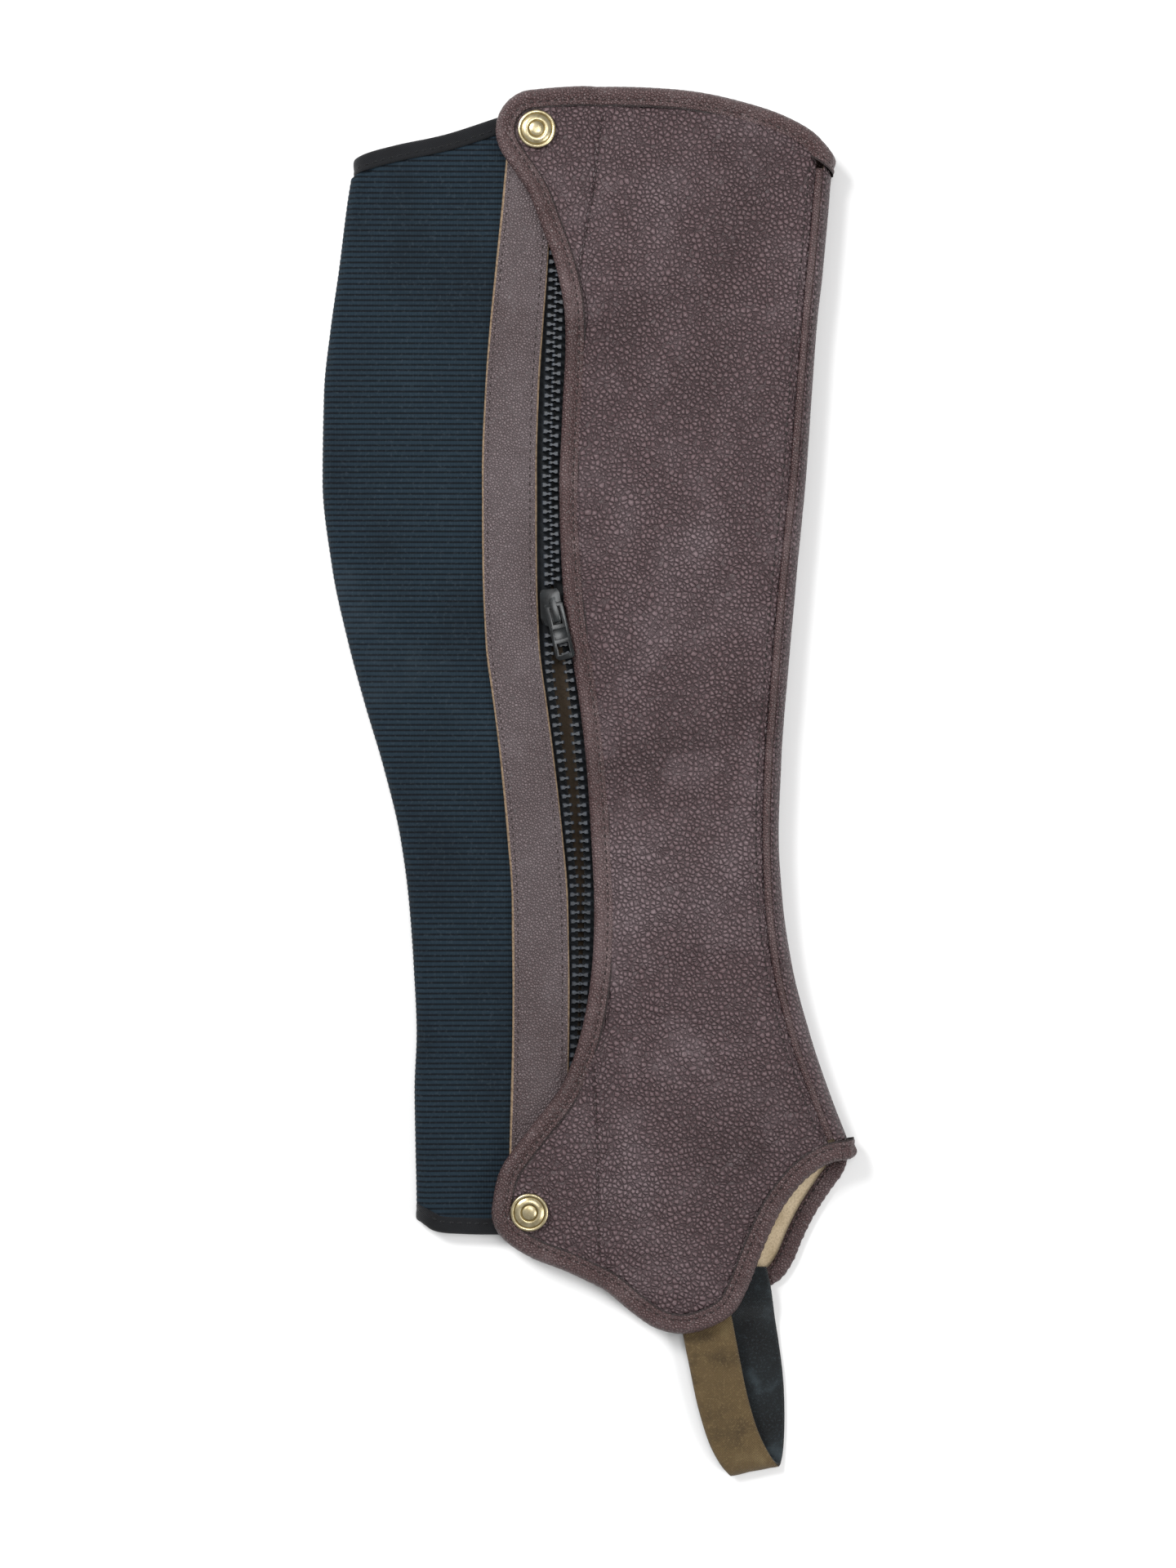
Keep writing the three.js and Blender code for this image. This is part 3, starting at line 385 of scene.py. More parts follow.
def thread_mat():
    m = Mat("thread_dark_brown", Sheen_Weight=0.1, Specular_IOR_Level=0.35)
    f = m.noise(3000.0, 3.0, 0.6)
    col = m.ramp(f, [(0.3, lin(16, 9, 9)), (0.7, lin(42, 27, 25))])
    return m.out(col, m.grey(f, [(0, 0.5), (1, 0.75)], "LINEAR"), m.bump(f, 0.5, 0.0001))


def plastic(name, base, light, rough):
    m = Mat(name, Specular_IOR_Level=0.5)
    f = m.noise(700.0, 4.0, 0.6)
    col = m.ramp(f, [(0.35, base), (0.75, light)])
    return m.out(col, m.grey(f, [(0.2, rough), (0.8, rough + 0.14)], "LINEAR"), m.bump(f, 0.25, 0.00008))


def metal(name, base, worn, rough, metallic):
    m = Mat(name, Metallic=metallic, Specular_IOR_Level=0.6)
    f = m.noise(420.0, 5.0, 0.65)
    s = m.noise(60.0, 3.0, 0.5)
    col = m.ramp(f, [(0.3, base), (0.7, worn)])
    return m.out(col, m.grey(s, [(0.2, rough), (0.8, rough + 0.16)], "LINEAR"), m.bump(f, 0.15, 0.00006))


THREAD = thread_mat()
TEETH_M = plastic("teeth_black_plastic", lin(30, 34, 40), lin(54, 61, 70), 0.3)
ENAMEL = metal("enamel_black_gloss", lin(12, 13, 15), lin(26, 30, 32), 0.16, 0.35)
BRASS = metal("brass_antique", lin(206, 194, 160), lin(168, 154, 118), 0.22, 1.0)
BRASS_DARK = metal("brass_recess", lin(120, 104, 66), lin(92, 78, 48), 0.35, 1.0)

# ---------------------------------------------------------------- mesh helpers
made = []


def new(name, verts, faces, mats, index=None, smooth_=True, body="root", replaces=()):
    me = bpy.data.meshes.new(name)
    v = np.array(verts, float)
    v[:, 0] += SHIFT[0]
    v[:, 1] += SHIFT[1]
    me.from_pydata((v * MM).tolist(), [], [tuple(int(i) for i in f) for f in faces])
    for m in mats:
        me.materials.append(m)
    if index is not None:
        me.polygons.foreach_set("material_index", np.array(index, dtype=np.int32))
    if smooth_:
        me.polygons.foreach_set("use_smooth", [True] * len(me.polygons))
    me.validate()
    o = bpy.data.objects.new(name, me)
    bpy.context.scene.collection.objects.link(o)
    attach(o, body)
    if replaces:
        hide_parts(*replaces)
    made.append(o)
    return o


def outward(verts, faces):
    """The faces, turned so that the volume they hold is positive."""
    v = np.array(verts, float)
    vol = 0.0
    for f in faces:
        for k in range(1, len(f) - 1):
            vol += np.dot(v[f[0]], np.cross(v[f[k]], v[f[k + 1]]))
    return faces if vol >= 0 else [tuple(reversed(f)) for f in faces]


def grid_wall(outer, inner, caps=(True, True, True, True)):
    """A closed wall between two grids (rows, cols, 3): points, faces and a tag for each face (0 outer, 1 inner, 2 edge)."""
    R, C = outer.shape[:2]
    v = np.concatenate([outer.reshape(-1, 3), inner.reshape(-1, 3)])
    n = R * C
    f, tag = [], []
    for i in range(R - 1):
        for j in range(C - 1):
            a = i * C + j
            f.append((a, a + C, a + C + 1, a + 1)); tag.append(0)
            f.append((n + a, n + a + 1, n + a + C + 1, n + a + C)); tag.append(1)
    for i in range(R - 1):
        a = i * C
        f.append((a + C, a, n + a, n + a + C)); tag.append(2)
        a = i * C + C - 1
        f.append((a, a + C, n + a + C, n + a)); tag.append(2)
    for j in range(C - 1):
        f.append((j, j + 1, n + j + 1, n + j)); tag.append(2)
        a = (R - 1) * C + j
        f.append((a + 1, a, n + a, n + a + 1)); tag.append(2)
    return v, outward(v, f), tag


def area_of(o, layers):
    dg = bpy.context.evaluated_depsgraph_get()
    e = o.evaluated_get(dg)
    me = e.to_mesh()
    a = sum(p.area for p in me.polygons) / layers
    e.to_mesh_clear()
    return a


def declare(o, w, l, layers):
    a = area_of(o, layers)
    w = max(w, a / l)


def flat_piece(name, outline, ztop, zlow, spacing, mats, replaces, tags=(0, 1, 2), extra=None):
    """A panel cut to an outline, between two heights, with an even mesh inside it."""
    outline = np.asarray(outline, float)
    lo, hi = outline.min(0), outline.max(0)
    xs = np.arange(lo[0] + spacing * 0.5, hi[0], spacing)
    ys = np.arange(lo[1] + spacing * 0.5, hi[1], spacing)
    gx, gy = np.meshgrid(xs, ys)
    gx = gx + (np.arange(len(ys)) % 2)[:, None] * spacing * 0.5
    pts = np.stack([gx.ravel(), gy.ravel()], 1)
    # inside the outline, and not too close to it
    x, y = pts[:, 0], pts[:, 1]
    inside = np.zeros(len(pts), bool)
    near = np.full(len(pts), 1e9)
    for k in range(len(outline)):
        a, b = outline[k - 1], outline[k]
        cross = (a[1] > y) != (b[1] > y)
        with np.errstate(divide="ignore", invalid="ignore"):
            inside ^= cross & (x < (b[0] - a[0]) * (y - a[1]) / (b[1] - a[1]) + a[0])
        ab = b - a
        t = np.clip(((x - a[0]) * ab[0] + (y - a[1]) * ab[1]) / max(1e-9, ab @ ab), 0, 1)
        near = np.minimum(near, np.hypot(x - a[0] - t * ab[0], y - a[1] - t * ab[1]))
    pts = pts[inside & (near > spacing * 0.45)]
    if extra is not None:
        gap = np.full(len(pts), 1e9)
        for e in extra[::3]:
            gap = np.minimum(gap, np.hypot(pts[:, 0] - e[0], pts[:, 1] - e[1]))
        pts = np.concatenate([pts[gap > 0.9], extra])
    allp = np.concatenate([outline, pts])
    n = len(outline)
    co, _, tri, _, _, _ = delaunay_2d_cdt([Vector(p) for p in allp], [], [list(range(n))], 1, 1e-5)
    co = np.array([tuple(c) for c in co])
    N = len(co)
    top = np.column_stack([co, ztop(co[:, 0], co[:, 1])])
    low = np.column_stack([co, zlow(co[:, 0], co[:, 1])])
    f, tag, count = [], [], {}
    for t in tri:
        t = list(t)
        a = sum(co[t[k]][0] * co[t[(k + 1) % 3]][1] - co[t[(k + 1) % 3]][0] * co[t[k]][1] for k in range(3))
        if a < 0:
            t.reverse()
        f.append(tuple(t)); tag.append(tags[0])
        f.append(tuple(N + q for q in reversed(t))); tag.append(tags[1])
        for k in range(3):
            e = (t[k], t[(k + 1) % 3])
            count[e] = count.get(e, 0) + 1
    for (a, b) in list(count):
        if (b, a) not in count:
            f.append((b, a, N + a, N + b)); tag.append(tags[2])
    return new(name, np.concatenate([top, low]), f, mats, tag, replaces=replaces)


def sweep(line, profile, up=None, closed=True):
    """A profile (points across, height) carried along a 3-D line; profile may be one for each point."""
    line = np.asarray(line, float)
    t = tangents(line)
    prof = np.asarray(profile, float)
    if prof.ndim == 2:
        prof = np.repeat(prof[None], len(line), 0)
    across = np.stack([-t[:, 1], t[:, 0], np.zeros(len(t))], 1)
    across /= np.maximum(1e-9, np.linalg.norm(across, axis=1, keepdims=True))
    upv = np.cross(t, across)
    upv *= np.sign(upv[:, 2:3]) if up is None else 1
    v = line[:, None] + across[:, None] * prof[:, :, 0:1] + upv[:, None] * prof[:, :, 1:2]
    R, C = v.shape[:2]
    f = []
    for i in range(R - 1):
        for j in range(C if closed else C - 1):
            k = (j + 1) % C
            f.append((i * C + j, i * C + k, (i + 1) * C + k, (i + 1) * C + j))
    if closed:
        f.append(tuple(range(C - 1, -1, -1)))
        f.append(tuple((R - 1) * C + j for j in range(C)))
    return v.reshape(-1, 3), f


def sweep3(line, normals, profile, side=1.0, closed=False):
    """A profile (inward, outward) along a line on a surface with the given normals. profile may be one for each point."""
    line, normals = np.asarray(line, float), np.asarray(normals, float)
    t = tangents(line)
    inward = np.cross(normals, t) * side
    inward /= np.maximum(1e-9, np.linalg.norm(inward, axis=1, keepdims=True))
    prof = np.asarray(profile, float)
    if prof.ndim == 2:
        prof = np.repeat(prof[None], len(line), 0)
    v = line[:, None] + inward[:, None] * prof[:, :, 0:1] + normals[:, None] * prof[:, :, 1:2]
    R, C = v.shape[:2]
    f = []
    for i in range(R - 1):
        for j in range(C if closed else C - 1):
            k = (j + 1) % C
            f.append((i * C + j, i * C + k, (i + 1) * C + k, (i + 1) * C + j))
    return v, f


def painted_shade_index(f, C, n=1):
    """Material 1, a dark leather, on the first n strips of the profile: painted shade along the binding's inner edge.
    """
    return [1 if (k % (C - 1)) < n and len(q) == 4 else 0 for k, q in enumerate(f)] + [0, 0]


def end_caps(v, f):
    """The C-shaped sheet's ends, closed."""
    R, C = v.shape[:2]
    f = list(f)
    f.append(tuple(range(C)))
    f.append(tuple((R - 1) * C + j for j in range(C - 1, -1, -1)))
    return f


def stitches(name, lines, replaces=(), pitch=2.75, length=1.9, width=0.6, high=0.28, mat=None, body="root"):
    """Sewn stitches as small rounded bars; lines is a list of 3-D lines (points on the surface)."""
    V, F = [], []
    for q, line in enumerate(lines):
        line = np.asarray(line, float)
        run = np.concatenate([[0], np.cumsum(np.linalg.norm(np.diff(line, axis=0), axis=1))])
        n = int(run[-1] / pitch)
        for k in range(n):
            s = (k + 0.5) * run[-1] / n
            w = 0.12 * math.sin(k * 12.9898 + q * 3.1) 
            a = np.array([np.interp(s - length / 2, run, line[:, c]) for c in range(3)])
            b = np.array([np.interp(s + length / 2, run, line[:, c]) for c in range(3)])
            d = (b - a) / max(1e-9, np.linalg.norm(b - a))
            side = np.array([-d[1], d[0], 0.0])
            side /= max(1e-9, np.linalg.norm(side))
            upv = np.array([0, 0, 1.0])
            a, b = a + side * w * 0.5, b - side * w * 0.5
            base = len(V)
            V.append(a - upv * 0.12)
            for t in (0.22, 0.5, 0.78):
                c = a + (b - a) * t
                r = 1.0 if t == 0.5 else 0.82
                V += [c - side * width / 2 * r - upv * 0.1, c - side * width * 0.3 * r + upv * high * r,
                      c + side * width * 0.3 * r + upv * high * r, c + side * width / 2 * r - upv * 0.1]
            V.append(b - upv * 0.12)
            for j in range(3):
                F.append((base, base + 2 + j, base + 1 + j))
            F.append((base, base + 1, base + 4))
            for ring in range(2):
                o = base + 1 + ring * 4
                for j in range(4):
                    F.append((o + j, o + (j + 1) % 4, o + 4 + (j + 1) % 4, o + 4 + j))
            o = base + 9
            for j in range(4):
                F.append((base + 13, o + j, o + (j + 1) % 4))
    return new(name, V, F, [mat or THREAD], replaces=replaces)


def curve_y(rows, inset=0.0, step=1.5):
    """y as a function of x along a smooth edge moved inwards."""
    line = smooth(rows, step)
    if inset:
        line = offset(line, inset)
    o = np.argsort(line[:, 0])
    return lambda x: np.interp(x, line[o, 0], line[o, 1])


# ---------------------------------------------------------------- outer panel
DART_TOP = smooth([(5.5, 232.5), (3.6, 218.0), (2.2, 204.6), (-0.2, 190.6), (-2.6, 176.0), (-3.2, 166.0)], 0.8)
DART_LOW = smooth([(1.6, -95.0), (2.6, -110.0), (3.2, -126.0), (3.4, -143.0), (3.8, -166.0)], 0.8)


def dist_to(line, x, y):
    d = np.full(np.shape(x), 1e9)
    for k in range(0, len(line) - 1, 2):
        a, b = line[k], line[min(k + 2, len(line) - 1)]
        ab = b - a
        t = np.clip(((x - a[0]) * ab[0] + (y - a[1]) * ab[1]) / max(1e-9, ab @ ab), 0, 1)
        d = np.minimum(d, np.hypot(x - a[0] - t * ab[0], y - a[1] - t * ab[1]))
    return d


EDGE_IN = offset(OUTER_EDGE, BINDING_W)


def panel_top(x, y):
    x, y = np.asarray(x, float), np.asarray(y, float)
    z = under(x, y) + LEATHER
    z = z + 0.95 * wave(x, y, 3.1, 46.0) * ease((x + 4) / 22) + 0.38 * wave(x, y, 7.7, 17.0)
    # long soft troughs: across the ankle, and up the calf beside the flap
    for cx, cy, ang, ln, wd, dp in ((38, -62, 14, 42, 7, 0.75), (30, -84, -8, 34, 6, 0.6), (52, -38, 30, 26, 5, 0.5),
                                    (16, 20, 80, 40, 6, 0.45), (12, 120, 96, 60, 7, 0.5), (44, 60, 70, 50, 9, 0.4),
                                    (40, -150, 55, 18, 4, 0.5), (58, -128, 40, 16, 4, 0.45), (24, -140, 84, 30, 6, 0.35)):
        c, s = math.cos(math.radians(ang)), math.sin(math.radians(ang))
        u, v = (x - cx) * c + (y - cy) * s, -(x - cx) * s + (y - cy) * c
        z = z - 1.5 * dp * np.exp(-(u / ln) ** 2 * 2 - (v / wd) ** 2 * 2)
    # pressed down along the seams of the tabs, and where the binding is sewn on
    for line in (DART_TOP, DART_LOW):
        d = dist_to(line, x, y)
        z = z - 0.7 * np.exp(-(d / 0.5) ** 2) + 0.2 * np.exp(-((d - 1.7) / 1.0) ** 2)
    # small puckers that run in from the gathered edge of the boot opening
    hem = dist_to(EDGE_IN[-170:], x, y)
    phase = (x * 0.65 + y * 0.76) * 2 * math.pi / 3.4 + 1.6 * wave(x, y, 5.5, 9.0)
    zone = ease((y + 172) / 10) * ease((x - 44) / 10) * ease((-118 - y) / 12)
    z = z + 0.2 * np.sin(phase) * np.exp(-(hem / 4.0) ** 2) * zone
    w = at(LEG, "welt", y) - 1.2 - x
    z = z - 0.35 * np.exp(-(w / 0.7) ** 2) + 0.22 * np.exp(-((w - 1.6) / 1.0) ** 2)
    return z


inner_line = offset(OUTER_EDGE, BINDING_W - 0.5)[::2]
keep = inner_line[:, 0] < at(LEG, "welt", inner_line[:, 1]) - 1.25
inner_line = inner_line[keep]
ys = np.arange(inner_line[-1, 1] + 2, inner_line[0, 1] - 2, 3.0)
outline = np.concatenate([inner_line, np.column_stack([at(LEG, "welt", ys) - 1.2, ys])])
seam_points = []
for seam, cut in ((DART_TOP, (7, -2)), (DART_LOW, (2, -8))):
    for d in (-2.0, -1.1, -0.5, 0.0, 0.5, 1.1, 2.0):
        seam_points.append(offset(seam, d)[cut[0]:cut[1]])
yy = np.arange(-112.0, 205.0, 1.6)
for d in (2.1, 2.9, 3.9):
    seam_points.append(np.column_stack([at(LEG, "welt", yy) - d, yy]))
seam_points = np.concatenate(seam_points)
# the panel's cut edges take the dark leather: painted shade
outer_panel = flat_piece("outer_panel_leather", outline, panel_top, lambda x, y: under(x, y) + 0.05, 2.4,
                         [LEATHER_OUT, SUEDE, LEATHER_PAINTED_SHADE], ["outer_panel"], extra=seam_points)

# ---------------------------------------------------------------- bindings
C_PROFILE = np.array([(6.95, 0.03), (6.3, 0.14), (5.8, 0.42), (5.3, 0.42), (4.75, 0.22), (4.3, 0.3), (3.7, 0.62), (2.9, 0.86),
                      (2.0, 0.9), (1.1, 0.66), (0.4, 0.16), (0.02, -0.55), (0.1, -1.25), (0.6, -1.8), (1.6, -2.15), (3.2, -2.25),
                      (5.0, -2.2), (5.9, -2.0), (6.2, -1.7)])


def bound_profile(s, gather, seed, scale=1.0):
    """One C profile for each length s along the edge, with small puckers where the leather is gathered."""
    n = len(s)
    a = np.repeat(C_PROFILE[None, :, 0], n, 0)
    h = np.repeat(C_PROFILE[None, :, 1], n, 0) * scale
    ph = 2 * math.pi * s / 2.9 + 2.2 * wave(s, 0 * s, seed, 7.0)
    rip = np.sin(ph)[:, None] * 0.5 + np.sin(ph * 1.73 + 1.0)[:, None] * 0.22
    slow = wave(s, 0 * s, seed + 2, 16.0)[:, None]
    roof = np.exp(-((C_PROFILE[:, 0] - 2.2) / 2.2) ** 2)[None] * (C_PROFILE[:, 1] > -0.4)[None]
    floor_ = np.exp(-((C_PROFILE[:, 0] - 2.2) / 2.6) ** 2)[None] * (C_PROFILE[:, 1] < -1.6)[None]
    g = gather[:, None]
    h = h + roof * (rip * (0.10 + 0.55 * g) + slow * 0.16) - floor_ * rip * 0.4 * g
    a = a + (C_PROFILE[:, 0] < 1.2)[None] * (rip * (0.04 + 0.18 * g) + slow * 0.1)
    return np.stack([a, h], 2)


edge = OUTER_EDGE[OUTER_EDGE[:, 0] < at(LEG, "welt", OUTER_EDGE[:, 1]) + 3.0]
mid = offset(edge, 3.2)
line = np.column_stack([edge, under(mid[:, 0], mid[:, 1]) + LEATHER])
s = np.arange(len(line)) * 1.0
fine_s = np.arange(0, s[-1], 0.5)
line = np.stack([np.interp(fine_s, s, line[:, k]) for k in range(3)], 1)
gather = ease((line[:, 0] - 50) / 8) * ease((-124 - line[:, 1]) / 10) * ease((line[:, 1] + 182) / 10)
gather = np.maximum(gather, 0.12)
up = np.tile([0, 0, 1.0], (len(line), 1))
v, f = sweep3(line, up, bound_profile(fine_s, gather, 1.3, 1.5))
shape_ = v.shape[:2]
# the binding's inner edge takes the dark leather: painted shade
binding_outer = new("binding_outer_rolled", v.reshape(-1, 3), outward(v.reshape(-1, 3), end_caps(v, f)), [LEATHER_BIND, LEATHER_PAINTED_SHADE], painted_shade_index(f, len(C_PROFILE)), replaces=["binding_outer"])
outer_binding_line = v[:, 4] + (0, 0, 0.05)

HALF = FRONT_H / 2


def low_z(x, y):
    c = np.clip((x - (at(LEG, "front", y) - 6.5)) / 6.5, 0, 0.999)
    return HALF * (1 - np.sqrt(1 - c * c)), np.stack([c, 0 * c, -np.sqrt(1 - c * c)], -1)


top_y, hem_y = curve_y(TOP), curve_y(HEM_INNER)
top_in_y = curve_y(TOP_INNER)


def over_front(y0, w, yfun):
    """A point on the rounded front at angle w from the top, on the edge given by yfun."""
    y = y0
    for _ in range(12):
        welt, front = at(LEG, "welt", y) + 1.0, at(LEG, "front", y)
        x = welt + (front - welt) * math.sin(w)
        y = 0.5 * y + 0.5 * float(yfun(x))
    a = front - welt
    n = np.array([math.sin(w) / a, 0, math.cos(w) / HALF])
    return np.array([x, y, HALF + HALF * math.cos(w)]), n / np.linalg.norm(n)


def resample(line, normals, step):
    line, normals = np.array(line), np.array(normals)
    run = np.concatenate([[0], np.cumsum(np.linalg.norm(np.diff(line, axis=0), axis=1))])
    want = np.arange(0, run[-1], step)
    L = np.stack([np.interp(want, run, line[:, k]) for k in range(3)], 1)
    N = np.stack([np.interp(want, run, normals[:, k]) for k in range(3)], 1)
    return L, N / np.linalg.norm(N, axis=1, keepdims=True), want


# top of the front fold and of the inner panel
P, N = [], []
for w in np.linspace(0.02, math.pi / 2, 16):
    p, n = over_front(216.0, w, top_y)
    P.append(p - n * 0.0); N.append(n)
xs = np.linspace(P[-1][0] - 0.05, -27.0, 240)
for x in xs:
    y = float(top_in_y(x))
    z, n = low_z(np.array(x), np.array(y))
    P.append(np.array([x, y, float(z)]) - n * 0.9); N.append(n)
L, Nn, run = resample(P, N, 0.6)
v, f = sweep3(L, Nn, bound_profile(run, np.full(len(run), 0.1), 4.4, 0.95), side=-1.0)
v[:, :, 2] = np.maximum(v[:, :, 2], 0.02)
# the binding's inner edge takes the dark leather: painted shade
binding_top = new("binding_inner_top_rolled", v.reshape(-1, 3), outward(v.reshape(-1, 3), end_caps(v, f)), [LEATHER_BIND, LEATHER_PAINTED_SHADE], painted_shade_index(f, len(C_PROFILE)), replaces=["binding_inner_top"])
top_binding_line = v[:60, 4] + Nn[:60] * 0.05

# front tip and lower edge of the inner panel
P, N = [], []
hem_out_y = curve_y(HEM)
for w in np.linspace(0.02, math.pi / 2 - 0.05, 12):
    p, n = over_front(-127.5, w, hem_out_y)
    P.append(p); N.append(n)
hl = smooth(HEM_INNER, 0.8)
hl = hl[(hl[:, 0] < 90.7) & (hl[:, 0] > -27.0)][::-1]
for x, y in hl:
    z, n = low_z(np.array(x), np.array(y))
    P.append(np.array([x, y, float(z)]) - n * 1.0); N.append(n)
L, Nn, run = resample(P, N, 0.5)
g = ease((L[:, 0] - 52) / 10) * ease((95 - L[:, 0]) / 6)
v, f = sweep3(L, Nn, bound_profile(run, np.maximum(0.1, g), 6.1, 0.95), side=1.0)
v[:, :, 2] = np.maximum(v[:, :, 2], 0.02)
# the binding's inner edge takes the dark leather: painted shade
binding_low = new("binding_inner_bottom_rolled", v.reshape(-1, 3), outward(v.reshape(-1, 3), end_caps(v, f)), [LEATHER_BIND, LEATHER_PAINTED_SHADE], painted_shade_index(f, len(C_PROFILE)), replaces=["binding_inner_bottom"])
tip_line = v[:16, 4] + Nn[:16] * 0.05
hem_in_line = v[16:200, 16] - Nn[16:200] * 0.12

# ---------------------------------------------------------------- inner panel
top_cut, hem_cut = curve_y(TOP_INNER, BINDING_W - 0.5), curve_y(HEM_INNER, BINDING_W - 0.5)
hem_cut_hi = lambda x: np.full(np.shape(x), -127.9 + BINDING_W - 0.5)
cols = []
for fr in np.linspace(0, 1, 46):
    cols.append(("low", fr))
for w in np.linspace(0, math.pi / 2, 9)[1:]:
    cols.append(("q1", w))
for w in np.linspace(math.pi / 2, 0.0, 11)[1:]:
    cols.append(("q2", w))


def col_point(kind, k, y):
    rib, front, welt = at(LEG, "rib", y), at(LEG, "front", y), at(LEG, "welt", y) + 1.3
    if kind == "low":
        return rib + 0.2 + (front - 6.5 - rib - 0.2) * k, 0 * y, np.array([0, -1.0])
    if kind == "q1":
        return front - 6.5 + 6.5 * math.sin(k), HALF * (1 - math.cos(k)) + 0 * y, np.array([math.sin(k), -math.cos(k)])
    a = front - welt
    n = np.array([math.sin(k) / 4.5, math.cos(k) / HALF])
    return welt + a * math.sin(k), HALF + HALF * math.cos(k) + 0 * y, n / np.linalg.norm(n)


ROWS = 150
outer_g, inner_g = np.zeros((ROWS + 1, len(cols), 3)), np.zeros((ROWS + 1, len(cols), 3))
for j, (kind, k) in enumerate(cols):
    yb, yt = -140.0, 215.0
    for _ in range(30):
        yb = 0.6 * yb + 0.4 * float((hem_cut_hi if kind == "q2" else hem_cut)(float(col_point(kind, k, np.array(yb))[0])))
        yt = 0.6 * yt + 0.4 * float(top_cut(float(col_point(kind, k, np.array(yt))[0])))
    yy = np.linspace(yb, yt, ROWS + 1)
    x, z, n = col_point(kind, k, yy)
    soft = 0.22 * wave(x, yy, 9.3, 24.0) if kind == "q2" else 0
    outer_g[:, j] = np.stack([x + soft * n[0], yy, z + soft * max(0, n[1])], 1)
    lift = 0.35 * wave(x, yy, 2.2, 22.0) if kind == "low" else 0
    inner_g[:, j] = np.stack([x - n[0] * LEATHER, yy, z - n[1] * LEATHER + lift * 0.6], 1)
v, f, tag = grid_wall(outer_g, inner_g)
inner_panel = new("inner_panel_leather", v, f, [LEATHER_IN, SUEDE, RAW], tag, replaces=["inner_panel"])

# ---------------------------------------------------------------- piping of the front seam
yy = np.arange(-121.0, 209.5, 1.2)
cx = at(LEG, "welt", yy) + 0.05
cz = FRONT_H - 0.55 + 0.12 * wave(cx, yy, 8.8, 12.0)
line = np.column_stack([cx, yy, cz])
prof = [(1.3 * math.cos(a), 1.35 * math.sin(a)) for a in np.linspace(0, 2 * math.pi, 14, endpoint=False)]
v, f = sweep(line, prof)
front_welt = new("front_welt_piping", v, outward(v, f), [LEATHER_BIND], replaces=["front_welt"])

# ---------------------------------------------------------------- elastic
el_top, el_bot = curve_y(TOP_ELASTIC, 5.2), curve_y(BOTTOM_ELASTIC, 5.2)
ecols = [("low", k) for k in np.linspace(0, 1, 9)] + [("fold", w) for w in np.linspace(0, math.pi, 13)[1:-1]] + [("up", k) for k in np.linspace(0, 1, 26)]


def el_point(kind, k, y):
    back, rib = at(LEG, "back", y), at(LEG, "rib", y)
    if kind == "low":
        return rib - 0.1 + (back + 4.2 - rib + 0.1) * k, 0 * y, np.array([0, -1.0])
    if kind == "fold":
        return back + 4.2 - 4.2 * math.sin(k), BACK_H / 2 * (1 - math.cos(k)) + 0 * y, np.array([-math.sin(k), -math.cos(k)])
    return back + 4.2 + (rib + 4 - back - 4.2) * k, BACK_H - 0.6 * k + 0 * y, np.array([0, 1.0])


ER = 760
outer_g, inner_g = np.zeros((ER + 1, len(ecols), 3)), np.zeros((ER + 1, len(ecols), 3))
for j, (kind, k) in enumerate(ecols):
    yb, yt = -145.0, 205.0
    for _ in range(30):
        yb = 0.6 * yb + 0.4 * float(el_bot(float(el_point(kind, k, np.array(yb))[0])))
        yt = 0.6 * yt + 0.4 * float(el_top(float(el_point(kind, k, np.array(yt))[0])))
    yy = np.linspace(yb, yt, ER + 1)
    x, z, n = el_point(kind, k, yy)
    rib_ = 0.17 * np.abs(np.sin(math.pi * (yy + 0.2) / 1.84))
    soft = (0.5 * wave(x, yy, 1.9, 38.0) - 0.2) if kind == "up" else 0
    up_z = (rib_ - 0.17) if kind == "low" else rib_
    outer_g[:, j] = np.stack([x + n[0] * rib_, yy, np.maximum(0, z + (n[1] * rib_ if kind != "low" else 0.17 - rib_) + soft)], 1)
    inner_g[:, j] = np.stack([x - n[0] * ELASTIC, yy, z - n[1] * ELASTIC + soft], 1)
v, f, tag = grid_wall(outer_g, inner_g)
elastic_panel = new("elastic_panel_ribbed", v, f, [ELASTIC_M, EDGE_BLACK, EDGE_BLACK], tag, replaces=["elastic_panel"])

TAPE_PROFILE = np.array([(5.7, 0.0), (5.55, 0.3), (4.8, 0.42), (3.9, 0.3), (2.4, 0.5), (1.0, 0.5), (0.2, 0.25), (0.0, -0.5), (0.3, -1.2),
                         (1.6, -1.75), (4.0, -1.8), (5.5, -1.7), (5.7, -1.5)])


def elastic_edge(name, rows, side, y0, replaces, x_end):
    yf = curve_y(rows)
    P, N = [], []

    def solve(kind, k):
        y = y0
        for _ in range(30):
            y = 0.6 * y + 0.4 * float(yf(float(el_point(kind, k, np.array(y))[0])))
        x, z, n = el_point(kind, k, np.array(y))
        return np.array([float(x), y, float(z)]), np.array([n[0], 0, n[1]])
    for k in np.linspace(0.84 if side > 0 else 0.86, 0, 40):
        p, n = solve("up", k)
        P.append(p); N.append(n)
    for w in np.linspace(math.pi, 0, 17)[1:-1]:
        p, n = solve("fold", w)
        P.append(p - n * 0.5 * max(0.0, -n[2])); N.append(n)
    for k in np.linspace(1, 0, 40):
        p, n = solve("low", k)
        P.append(p - n * 0.5); N.append(n)
    L, Nn, run = resample(P, N, 0.7)
    prof = np.repeat(TAPE_PROFILE[None], len(L), 0).copy()
    prof[:, :, 1] += (0.08 * wave(run, 0 * run, 3.3, 6.0))[:, None]
    v, f = sweep3(L, Nn, prof, side=side)
    v[:, :, 2] = np.maximum(v[:, :, 2], 0.02)
    o = new(name, v.reshape(-1, 3), outward(v.reshape(-1, 3), end_caps(v, f)), [EDGE_BLACK], replaces=replaces)
    return o, v[:, 3] + Nn * 0.05


